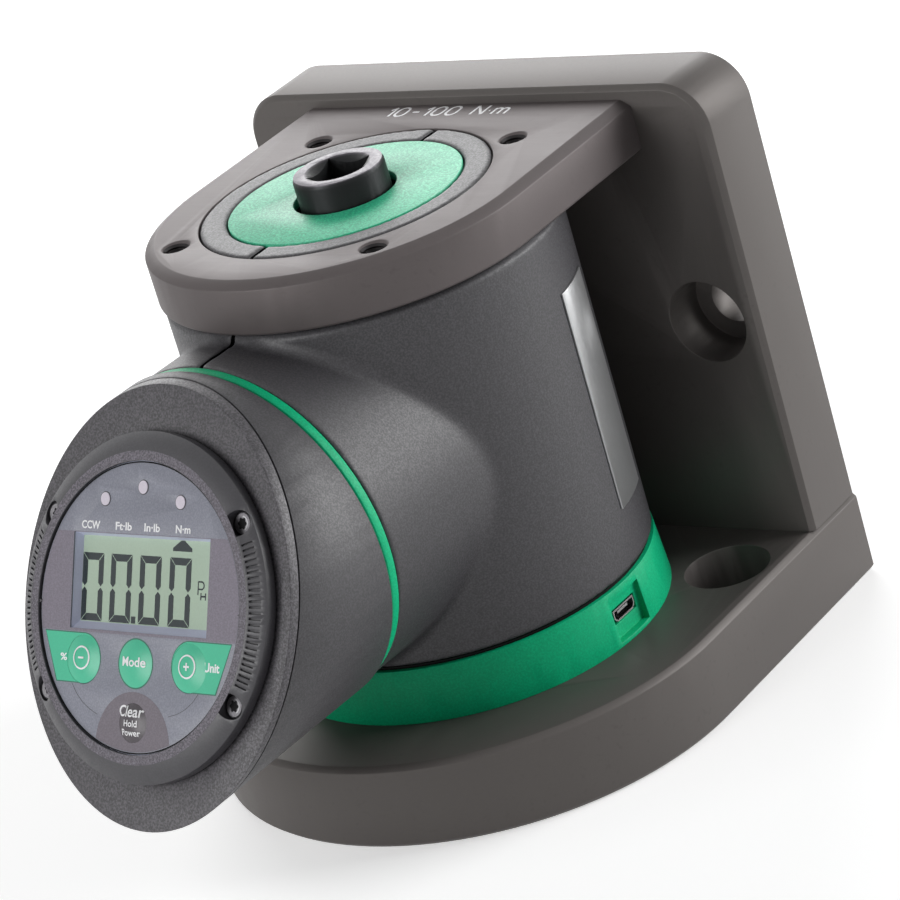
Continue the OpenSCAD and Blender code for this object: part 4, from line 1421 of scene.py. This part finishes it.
@dataclass(frozen=True)
class ScrewHead:
    """Visible face of the bezel's four screws, with sizes in millimetres.

    Attributes:
        x: Distance of each screw from the middle, sideways.
        y: Distance of each screw from the middle, upwards.
        top: Height of the head.
        face: Inner and outer radius of the turned face.
        recess: Radius of the six-lobed recess.
        lobe: Depth of its lobes.
        painted_glint: Inner and outer radius of a bright arc at the recess, a painted glint.
        painted_glint_arc: Where that painted glint starts and how far it goes, in degrees.
        face_lift: Height of the turned face above the head.
        recess_lift: Height above the head of the recess's black shape, which is painted shade, and of the
            painted glint.
        thick: Thickness of these shapes.
        steps: Steps round the turned face.
        painted_glint_steps: Steps along the painted glint.
    """

    x: float = 25.65
    y: float = 16.85
    top: float = 2.5
    face: tuple[float, float] = (0.6, 1.95)
    recess: float = 1.05
    lobe: float = 0.17
    painted_glint: tuple[float, float] = (1.2, 1.45)
    painted_glint_arc: tuple[float, float] = (-60.0, 150.0)
    face_lift: float = 0.03
    recess_lift: float = 0.05
    thick: float = 0.02
    steps: int = 32
    painted_glint_steps: int = 24

    def places(self) -> list[tuple[float, float]]:
        """Gives the middles of the four screws."""
        return [(x * self.x, y * self.y) for x in (-1, 1) for y in (-1, 1)]

    def recess_line(self, x: float, y: float) -> list[tuple[float, float]]:
        """Gives the outline of a recess, which is filled black as painted shade.

        Args:
            x: Middle of the screw.
            y: Middle of the screw.

        Returns:
            The points of the outline.
        """
        turns = [math.radians(10 * step) for step in range(36)]
        reach = [self.recess + self.lobe * math.cos(6 * turn) for turn in turns]
        return [(x + r * math.cos(turn), y + r * math.sin(turn)) for r, turn in zip(reach, turns)]


@dataclass
class Display:
    """The round display with its bezel, printed film, keys and liquid crystal.

    Attributes:
        film_top: Height of the film above the collar, in millimetres.
        film_r: Radius of the film.
        window: Half the window's width and half its height.
        window_y: Height of the window's middle.
        glass_top: Height of the liquid crystal's glass.
        digit_w: Width of a digit.
        digit_h: Height of a digit.
        bar: Width of a segment.
        gap: Gap between segments.
        digit_x: Left side of each digit.
        digit_y: Bottom of the digits.
        key_row_y: Height of the row of keys.
        flag_y: Height of the flags' middle.
        side_key_x: Distance of the outer keys from the middle.
        key_r: Radius of the row's keys.
        clear_y: Height of the lower key.
        clear_r: Radius of the lower key.
        key_dome: How far a key stands above the film.
        led_r: Distance of the lamps from the middle.
        led_turn: Angle between the lamps.
        lens_y: Centre of the dark area round the lower key.
        lens_r: Radius of that area.
        rim_h: Height of the bezel's flat rim.
        rim_r: Outer radius of the flat rim.
        rim_inset: How far the grained rim keeps from the film and from its own outer edge.
        rim_lift: Height of the grained rim above the bezel.
        gap_shade_reach: How far the black ring that paints the gap's shade reaches into and past the film's
            edge.
        screw: Faces of the bezel's screws.
        layer_t: Thickness of one printed layer.
        film_edge: How far the prints end before the film's edge.
        print_t: Thickness of a print.
        bezel_rounding: Rounding of the bezel's edges.
        film_rounding: Rounding of the film's edges.
        round_steps: Steps of a circle as large as the film.
        lens_steps: Steps round the dark area.
        fine_line: Width and thickness of a thin line on the film.
        letter_line: Width and thickness of a line of the small letters on the glass.
        band: Lower and upper end of the darker band.
        led_ring: Inner and outer radius of the line round a lamp.
        fine_lines: Points of the two thin lines beside the lower key.
        flag_half: Half the height of a flag.
        flag_ends: Distance of a flag's lower and upper outer corner from the middle.
        flag_outline: How far the outline reaches past a flag.
        under_key: How far the outline of the middle key reaches under it.
        sign_shift: How far the signs stand to the right of a key's middle and above it.
        sign_ring: Inner and outer radius of the ring round a sign.
        sign_bar: Length and width of a bar of a sign.
        sign_pitch: Size of the pieces that follow a dome.
        sign_lift: Height of a sign above its dome.
        sign_t: Thickness of a sign.
        units: Words above the window.
        beside_keys: Words beside the outer keys.
        on_mode: Word on the middle key.
        over_clear: Word over the lower key.
        on_clear: Words on the lower key.
        point: Left, right, lower and upper end of the decimal point.
        pointer: Corners of the arrow over the last digit.
    """

    film_top: float = 3.9
    film_r: float = 27.5
    window: tuple[float, float] = (18.85, 9.2)
    window_y: float = 4.45
    glass_top: float = 2.0
    digit_w: float = 5.9
    digit_h: float = 13.0
    bar: float = 1.4
    gap: float = 0.1
    digit_x: tuple[float, ...] = (-18.05, -10.1, -2.0, 6.2)
    digit_y: float = -3.2
    key_row_y: float = -10.55
    flag_y: float = -10.3
    side_key_x: float = 14.6
    key_r: float = 4.6
    clear_y: float = -21.75
    clear_r: float = 3.75
    key_dome: float = 0.8
    led_r: float = 22.7
    led_turn: float = 27.2
    lens_y: float = -26.1
    lens_r: float = 10.2
    rim_h: float = 4.4
    rim_r: float = 29.8
    rim_inset: tuple[float, float] = (0.35, 0.15)
    rim_lift: float = 0.03
    gap_shade_reach: tuple[float, float] = (0.16, 0.1)
    screw: ScrewHead = ScrewHead()
    layer_t: float = 0.01
    film_edge: float = 0.3
    print_t: float = 0.015
    bezel_rounding: float = 0.1
    film_rounding: float = 0.04
    round_steps: int = 128
    lens_steps: int = 96
    fine_line: tuple[float, float] = (0.1, 0.02)
    letter_line: tuple[float, float] = (0.32, 0.01)
    band: tuple[float, float] = (-5.3, 13.8)
    led_ring: tuple[float, float] = (1.25, 1.45)
    fine_lines: tuple[tuple[tuple[float, float], ...], ...] = (
        ((-17.55, -15.37), (-16.1, -17.2), (-14.34, -18.73), (-12.3, -19.9), (-9.98, -20.79)),
        ((17.4, -15.2), (15.9, -16.9), (14.0, -18.3), (11.9, -19.3), (9.63, -19.89)),
    )
    flag_half: float = 4.65
    flag_ends: tuple[float, float] = (21.9, 25.6)
    flag_outline: float = 0.22
    under_key: float = 0.1
    sign_shift: tuple[float, float] = (0.1, 0.3)
    sign_ring: tuple[float, float] = (1.95, 2.28)
    sign_bar: tuple[float, float] = (1.5, 0.38)
    sign_pitch: float = 0.3
    sign_lift: float = 0.08
    sign_t: float = 0.02
    units: tuple[Lettering, ...] = (
        Lettering("CCW", 1.5, -14.17, 14.45, 5.15, 0.055),
        Lettering("Ft·lb", 1.5, -4.98, 14.45, 4.52, 0.055),
        Lettering("In·lb", 1.5, 2.9, 14.45, 4.33, 0.055),
        Lettering("N·m", 1.5, 11.38, 14.45, 4.0, 0.055),
    )
    beside_keys: tuple[Lettering, ...] = (
        Lettering("%", 1.35, -20.2, -11.0, 1.9, 0.045),
        Lettering("Unit", 1.7, 20.7, -10.9, 4.2, 0.07),
    )
    on_mode: tuple[Lettering, ...] = (Lettering("Mode", 1.8, 0.1, -11.05, 6.3, 0.05),)
    over_clear: tuple[Lettering, ...] = (Lettering("Clear", 2.1, -0.35, -20.55, 6.8, 0.05),)
    on_clear: tuple[Lettering, ...] = (
        Lettering("Hold", 1.25, 0.0, -22.4, 3.6, 0.03),
        Lettering("Power", 1.25, 0.0, -24.15, 5.0, 0.03),
    )
    point: tuple[float, float, float, float] = (-3.9, -2.7, -3.17, -1.83)
    pointer: tuple[tuple[float, float], ...] = (
        (6.85, 11.0),
        (12.1, 11.0),
        (12.1, 11.6),
        (9.95, 13.05),
        (9.05, 13.05),
        (6.85, 11.6),
    )

    def build(self, finishes: Finishes) -> None:
        """Builds every visible piece of the display.

        Args:
            finishes: Materials of the tester.
        """
        softened("bezel", self.bezel_rounding, finishes.bezel)
        softened("printed_film", self.film_rounding, finishes.film)
        self.build_band(finishes)
        self.build_lens_zone(finishes)
        self.build_flags(finishes)
        self.build_words(finishes)
        self.build_digits(finishes)
        self.build_key_signs(finishes)
        self.build_rim(finishes)
        self.build_screw_faces(finishes)

    def layer(self, number: int) -> float:
        """Gives the height of a printed layer on the film."""
        return self.film_top + number * self.layer_t

    def build_rim(self, finishes: Finishes) -> None:
        """Lays the grained flat rim on the bezel and a black ring round the film's edge, painted shade of the
        gap.

        Args:
            finishes: Materials of the tester.
        """
        bm = bmesh.new()
        inner, outer = self.film_r + self.rim_inset[0], self.rim_r - self.rim_inset[1]
        ring_band(bm, (0, 0), inner, outer, 0, 360, self.rim_h + self.rim_lift, self.round_steps)
        thicken(bm, self.rim_lift)
        settle(bm, "bezel_rim", Body.DISPLAY, finishes.rim, FRAMES.display())
        # Painted shade: a thin black ring over the film's edge stands in for the shade in the gap.
        bm = bmesh.new()
        inner, outer = self.film_r - self.gap_shade_reach[0], self.film_r + self.gap_shade_reach[1]
        ring_band(bm, (0, 0), inner, outer, 0, 360, self.layer(5), self.round_steps)
        thicken(bm, 2 * self.layer_t)
        settle(bm, "film_gap_painted_shade", Body.DISPLAY, finishes.black, FRAMES.display())

    def build_screw_faces(self, finishes: Finishes) -> None:
        """Gives the bezel's screws a turned face, a black six-lobed shape as painted shade in the recess, and
        a bright arc as a painted glint.

        Args:
            finishes: Materials of the tester.
        """
        head = self.screw
        faces, painted_recess_shades, painted_glints = bmesh.new(), bmesh.new(), bmesh.new()
        for x, y in head.places():
            ring_band(faces, (x, y), *head.face, 0, 360, head.top + head.face_lift, head.steps)
            # Painted shade: a flat black six-lobed shape stands in for the shaded recess.
            flat_shape(painted_recess_shades, head.recess_line(x, y), head.top + head.recess_lift)
            # Painted glint: a bright arc of plain steel at the recess's edge.
            ring_band(
                painted_glints, (x, y), *head.painted_glint, *head.painted_glint_arc, head.top + head.recess_lift, head.painted_glint_steps
            )
        for bm, name, finish in (
            (faces, "screw_faces", finishes.screw_face),
            (painted_recess_shades, "screw_recess_painted_shade", finishes.black),
            (painted_glints, "screw_painted_glints", finishes.bright),
        ):
            thicken(bm, head.thick)
            settle(bm, name, Body.DISPLAY, finish, FRAMES.display())

    def build_band(self, finishes: Finishes) -> None:
        """Lays the darker band on the film, round the window.

        Args:
            finishes: Materials of the tester.
        """
        bm = bmesh.new()
        disc(bm, self.film_r - self.film_edge, 0, 0, self.layer(2), self.round_steps)
        low, high = self.band
        cut(bm, (0, high, 0), (0, 1, 0), clear=True)
        cut(bm, (0, low, 0), (0, -1, 0), clear=True)
        self.cut_window(bm)
        thicken(bm, self.print_t)
        settle(bm, "film_band", Body.DISPLAY, finishes.film_band, FRAMES.display())

    def build_lens_zone(self, finishes: Finishes) -> None:
        """Lays the darker round area under the lower key and the thin dark lines on the film.

        Args:
            finishes: Materials of the tester.
        """
        bm = bmesh.new()
        disc(bm, self.lens_r, 0, self.lens_y, self.layer(2), self.lens_steps)
        for step in range(-14, 15):
            turn = math.radians(270 + step * 2)
            out = Vector((math.cos(turn), math.sin(turn), 0))
            cut(bm, out * (self.film_r - self.film_edge), out, clear=True)
        self.cut_round(bm, 0, self.clear_y, self.clear_r)
        thicken(bm, self.print_t)
        settle(bm, "lower_lens", Body.DISPLAY, finishes.lens_zone, FRAMES.display())
        bm = bmesh.new()
        for turn in (-self.led_turn, 0.0, self.led_turn):
            angle = math.radians(90 - turn)
            middle = (self.led_r * math.cos(angle), self.led_r * math.sin(angle))
            ring_band(bm, middle, *self.led_ring, 0, 360, self.layer(3))
        thicken(bm, self.print_t)
        width, rise = self.fine_line
        strokes(bm, self.fine_lines, width, self.layer(2), rise)
        settle(bm, "led_rings", Body.DISPLAY, finishes.dark_ink, FRAMES.display())

    def build_flags(self, finishes: Finishes) -> None:
        """Lays the green key flags, each on a darker outline, and the outline of the middle key.

        Args:
            finishes: Materials of the tester.
        """
        for name, grow, number, finish in (
            ("flag_outlines", self.flag_outline, 2, finishes.key_edge),
            ("key_flags", 0.0, 4, finishes.key),
        ):
            bm = bmesh.new()
            height = self.layer(number)
            for side in (-1, 1):
                self.add_flag(bm, side, height, grow)
                self.cut_round(bm, side * self.side_key_x, self.key_row_y, self.key_r)
            if grow:
                inner, outer = self.key_r - self.under_key, self.key_r + grow
                ring_band(bm, (0, self.key_row_y), inner, outer, 0, 360, height)
            thicken(bm, (number - 1) * self.layer_t)
            settle(bm, name, Body.DISPLAY, finish, FRAMES.display())

    def cut_round(self, bm: bmesh.types.BMesh, x: float, y: float, radius: float) -> None:
        """Clears the round opening of a key out of a flat area.

        Args:
            bm: Mesh of the area.
            x: Middle of the opening.
            y: Middle of the opening.
            radius: Its radius.
        """
        steps = 24
        for step in range(steps):
            turn = 2 * math.pi * step / steps
            out = Vector((math.cos(turn), math.sin(turn), 0))
            cut(bm, Vector((x, y, 0)) + out * radius, out)
        inside = [f for f in bm.faces if (f.calc_center_median().xy - Vector((x, y))).length < radius]
        bmesh.ops.delete(bm, geom=inside, context="FACES")

    def cut_window(self, bm: bmesh.types.BMesh) -> None:
        """Clears the window out of a flat area by slicing along its four sides.

        Args:
            bm: Mesh of the area.
        """
        half_w, half_h = self.window
        for point, normal in (
            ((-half_w, 0, 0), (1, 0, 0)),
            ((half_w, 0, 0), (1, 0, 0)),
            ((0, self.window_y - half_h, 0), (0, 1, 0)),
            ((0, self.window_y + half_h, 0), (0, 1, 0)),
        ):
            cut(bm, point, normal)
        inside = []
        for face in bm.faces:
            middle = face.calc_center_median()
            if abs(middle.x) < half_w and abs(middle.y - self.window_y) < half_h:
                inside.append(face)
        bmesh.ops.delete(bm, geom=inside, context="FACES")

    def add_flag(self, bm: bmesh.types.BMesh, side: int, height: float, grow: float) -> None:
        """Adds a green key flag: a tab with a round inner end and a slanted outer end.

        Args:
            bm: Mesh that takes the flag.
            side: -1 for the left flag, 1 for the right one.
            height: Height of the flag.
            grow: How much larger it is than the flag itself.
        """
        half = self.flag_half + grow
        outer_low, outer_top = (end + grow for end in self.flag_ends)
        tab = bmesh.new()
        corners = [
            (self.side_key_x - half, self.flag_y - half),
            (outer_low, self.flag_y - half),
            (outer_top, self.flag_y + half),
            (self.side_key_x - half, self.flag_y + half),
        ]
        flat_shape(tab, corners, height)
        round_end = [v for v in tab.verts if v.co.x < self.side_key_x]
        bmesh.ops.bevel(
            tab, geom=round_end, offset=half * 0.999, affect="VERTICES", segments=16, profile=0.5, material=-1
        )
        if side < 0:
            bmesh.ops.scale(tab, vec=(-1, 1, 1), verts=tab.verts)
        mesh = bpy.data.meshes.new("flag")
        tab.to_mesh(mesh)
        tab.free()
        bm.from_mesh(mesh)
        bpy.data.meshes.remove(mesh)

    def build_words(self, finishes: Finishes) -> None:
        """Prints the units above the window and the words beside the keys.

        Args:
            finishes: Materials of the tester.
        """
        bm = bmesh.new()
        for words, height in ((self.units, self.layer(4)), (self.beside_keys, self.layer(6))):
            for word in words:
                word.lay(bm, height)
        thicken(bm, self.print_t)
        settle(bm, "printed_words", Body.DISPLAY, finishes.white_ink, FRAMES.display())

    def build_digits(self, finishes: Finishes) -> None:
        """Draws the liquid crystal's segments on the glass.

        Args:
            finishes: Materials of the tester.
        """
        bm = bmesh.new()
        height = self.glass_top + 2 * self.layer_t
        for x in self.digit_x:
            self.add_zero(bm, x, self.digit_y, height)
        left, right, low, high = self.point
        flat_shape(bm, [(left, low), (right, low), (right, high), (left, high)], height)
        flat_shape(bm, self.pointer, height)
        thicken(bm, self.print_t)
        bowl = [(14.12, 5.57), *arc(15.0, 4.87, 0.7, 0.7, 90, -180), (14.12, 4.17)]
        p_lines = [[(14.12, 3.1), (14.12, 5.57)], bowl[:2], bowl[1:-1], bowl[-2:]]
        h_lines = [[(14.95, 2.15), (14.95, 3.5)], [(16.2, 2.15), (16.2, 3.5)], [(14.95, 2.85), (16.2, 2.85)]]
        width, rise = self.letter_line
        strokes(bm, [*p_lines, *h_lines], width, self.glass_top + self.layer_t, rise)
        settle(bm, "lcd_segments", Body.DISPLAY, finishes.segments, FRAMES.display())

    def add_zero(self, bm: bmesh.types.BMesh, x: float, y: float, height: float) -> None:
        """Adds the six lit segments of a zero.

        Args:
            bm: Mesh that takes the segments.
            x: Left side of the digit.
            y: Bottom of the digit.
            height: Height of the segments.
        """
        w, h, b, g = self.digit_w, self.digit_h, self.bar, self.gap
        middle = h / 2
        level = [(g, h), (g + b, h - b), (w - g - b, h - b), (w - g, h)]
        upright = [
            (w, h - g),
            (w - b, h - b - g),
            (w - b, middle + g + b / 2),
            (w - b / 2, middle + g),
            (w, middle + g + b / 2),
        ]
        for shape, turned in ((level, (False,)), (upright, (False, True))):
            for flip_x in turned:
                for flip_y in (False, True):
                    across = [x + (w - cx if flip_x else cx) for cx, _ in shape]
                    along = [y + (h - cy if flip_y else cy) for _, cy in shape]
                    flat_shape(bm, zip(across, along), height)

    def build_key_signs(self, finishes: Finishes) -> None:
        """Prints the signs on the key domes, each riding with its key.

        Args:
            finishes: Materials of the tester.
        """
        shift, lift = self.sign_shift
        long, thin = self.sign_bar
        level = self.key_row_y + lift
        for body, x in ((Body.MINUS, -self.side_key_x), (Body.PLUS, self.side_key_x)):
            bm = bmesh.new()
            ring_band(bm, (x + shift, level), *self.sign_ring, 0, 360, 0)
            bmesh.ops.create_grid(bm, size=0.5, matrix=self.spread(x + shift, level, long, thin))
            if body is Body.PLUS:
                bmesh.ops.create_grid(bm, size=0.5, matrix=self.spread(x + shift, level, thin, long))
            key = (x, self.key_row_y, self.key_r)
            self.lay_on_dome(bm, f"sign_{body.value}", body, key, finishes.white_ink)
        upper, lower = (0.0, self.key_row_y, self.key_r), (0.0, self.clear_y, self.clear_r)
        for name, body, words, key in (
            ("sign_mode", Body.MODE, self.on_mode, upper),
            ("word_over_clear", Body.DISPLAY, self.over_clear, lower),
            ("sign_clear", Body.CLEAR, self.on_clear, lower),
        ):
            bm = bmesh.new()
            for word in words:
                word.lay(bm, 0)
            self.lay_on_dome(bm, name, body, key, finishes.white_ink)

    def lay_on_dome(
        self,
        bm: bmesh.types.BMesh,
        name: str,
        body: Body,
        key: tuple[float, float, float],
        finish: bpy.types.Material,
    ) -> None:
        """Lays flat signs on a key's dome and settles them.

        Args:
            bm: Mesh of the signs, drawn flat at height 0.
            name: Name of the piece.
            body: Body that it rides on.
            key: Middle of the key and its radius.
            finish: Material of the signs.
        """
        x, y, radius = key
        slice_up(bm, self.sign_pitch, radius, x, y)
        ball = (radius**2 + self.key_dome**2) / (2 * self.key_dome)
        top = self.film_top + self.key_dome
        for vert in bm.verts:
            out = (vert.co.x - x) ** 2 + (vert.co.y - y) ** 2
            dome = top - ball + math.sqrt(max(0.0, ball**2 - out))
            vert.co.z += max(dome, self.film_top) + self.sign_lift
        bmesh.ops.solidify(bm, geom=bm.faces[:], thickness=self.sign_t)
        settle(bm, name, body, finish, FRAMES.display())

    def spread(self, x: float, y: float, width: float, height: float) -> Matrix:
        """Gives the matrix that makes a unit grid a bar.

        Args:
            x: Middle of the bar.
            y: Middle of the bar.
            width: Its width.
            height: Its height.

        Returns:
            The matrix.
        """
        return Matrix.Translation((x, y, 0)) @ Matrix.Diagonal((width, height, 1, 1))

    def dress(self, finishes: Finishes) -> None:
        """Gives the carried-over nodes their materials.

        Args:
            finishes: Materials of the tester.
        """
        for node in ("display_case", "display_nut", "key_switches"):
            dress(node, finishes.inner)
        dress("front_panel", finishes.panel)
        dress("bezel_screws", finishes.oxide)
        dress("lcd_frame", finishes.natural)
        dress("lcd_glass", finishes.lcd)
        dress("display_board", finishes.board)
        dress("display_chips", finishes.black)
        dress("led_windows", finishes.lens)
        for node in ("key_minus", "key_mode", "key_plus"):
            dress(node, finishes.key)
        dress("key_clear", finishes.lens_key)


@dataclass(frozen=True)
class Lamp:
    """A square soft lamp that points at the tester.

    Attributes:
        name: Name of the lamp.
        place: Where it hangs, in metres.
        size: Its side.
        power: Its power in watts.
    """

    name: str
    place: tuple[float, float, float]
    size: float
    power: float

    def hang(self) -> None:
        """Adds the lamp to the scene."""
        data = bpy.data.lights.new(self.name, "AREA")
        data.size, data.energy = self.size, self.power
        lamp = bpy.data.objects.new(self.name, data)
        lamp.location = self.place
        aim = Vector((0, 0, 0.06)) - Vector(self.place)
        lamp.rotation_euler = aim.to_track_quat("-Z", "Y").to_euler()
        bpy.context.scene.collection.objects.link(lamp)


@dataclass
class Studio:
    """Camera, lamps and the pale floor.

    Attributes:
        place: Where the camera stands, in metres.
        right: Direction of the picture's right side.
        up: Direction of its upper side.
        back: Direction behind the camera.
        lens: Focal length for a sensor 36 wide.
        lamps: The soft lamps.
        room_light: Light that comes evenly from all round.
        floor_glow: White that the eye sees in the floor besides its lit colour.
    """

    place: Vector = Vector((0.501814, -0.567202, 0.376579))
    right: Vector = Vector((0.795265, 0.545629, -0.26428))
    up: Vector = Vector((-0.028955, 0.469602, 0.882403))
    back: Vector = Vector((0.605571, -0.694092, 0.389257))
    lens: float = 162.0846
    lamps: tuple[Lamp, ...] = (
        Lamp("left_rear_lamp", (-0.75, 0.85, 0.6), 0.9, 9.5),
        Lamp("right_rear_lamp", (0.9, 0.8, 0.42), 0.8, 15.5),
        Lamp("front_lamp", (-0.4, -1.1, 0.5), 0.7, 8.0),
    )
    room_light: float = 0.1
    floor_glow: float = 0.45

    def build(self) -> None:
        """Sets up the camera, the lamps, the world and the floor."""
        self.build_camera()
        for lamp in self.lamps:
            lamp.hang()
        self.build_world()
        self.build_floor()
        bpy.context.scene.view_settings.view_transform = "Standard"

    def build_camera(self) -> None:
        """Places the camera at the photograph's viewing angle."""
        data = bpy.data.cameras.new("camera")
        data.sensor_width = 36.0
        data.lens = self.lens
        data.clip_start, data.clip_end = 0.01, 20.0
        camera = bpy.data.objects.new("camera", data)
        turn = Matrix((self.right, self.up, self.back)).transposed().to_4x4()
        camera.matrix_world = Matrix.Translation(self.place) @ turn
        bpy.context.scene.collection.objects.link(camera)
        bpy.context.scene.camera = camera

    def build_world(self) -> None:
        """Lights the room softly and shows it white behind the tester."""
        world = bpy.data.worlds.new("room")
        world.use_nodes = True
        bpy.context.scene.world = world
        w = Wiring(world.node_tree)
        soft = world.node_tree.nodes["Background"]
        soft.inputs["Strength"].default_value = self.room_light
        soft.inputs["Color"].default_value = (1, 1, 1, 1)
        white = w.add("ShaderNodeBackground", Color=(1, 1, 1), Strength=1.0)
        mix = w.add("ShaderNodeMixShader")
        w.feed(mix.inputs[0], self.seen_rays(w))
        w.feed(mix.inputs[1], soft.outputs[0])
        w.feed(mix.inputs[2], white.outputs[0])
        w.feed(world.node_tree.nodes["World Output"].inputs[0], mix.outputs[0])

    def seen_rays(self, w: Wiring) -> Socket:
        """Picks out the rays that show a background: direct, mirrored and passed through.

        Args:
            w: Wiring of the tree that asks.

        Returns:
            1 on such rays and 0 on the others.
        """
        path = w.add("ShaderNodeLightPath")
        mirrored = w.maths("MAXIMUM", path.outputs["Is Glossy Ray"], path.outputs["Is Transmission Ray"])
        return w.maths("MAXIMUM", path.outputs["Is Camera Ray"], mirrored)

    def build_floor(self) -> None:
        """Lays a plain pale floor under the tester."""
        bm = bmesh.new()
        bmesh.ops.create_grid(bm, x_segments=1, y_segments=1, size=4.0)
        mesh = bpy.data.meshes.new("floor")
        bm.to_mesh(mesh)
        bm.free()
        floor = linked("floor", mesh)
        material, w, shader, where = start_material("floor_pale")
        tone = grouped(w, EFFECTS.drift, Vector=where, Color=(0.9, 0.9, 0.9), Amount=0.01, Scale=2.0)
        w.feed(shader.inputs["Base Color"], tone.outputs[0])
        shader.inputs["Emission Color"].default_value = (1, 1, 1, 1)
        w.feed(shader.inputs["Emission Strength"], w.maths("MULTIPLY", self.seen_rays(w), self.floor_glow))
        shader.inputs["Roughness"].default_value = 0.9
        shader.inputs["Specular IOR Level"].default_value = 0.1
        mesh.materials.append(material)


def main() -> None:
    """Builds the tester and its studio."""
    logging.basicConfig(level=logging.INFO, format="%(name)s: %(message)s")
    finishes = Finishes()
    for part in (Fixture(), Tower(), Head(), Display()):
        part.build(finishes)
        part.dress(finishes)
    Studio().build()


if __name__ == "__main__":
    main()
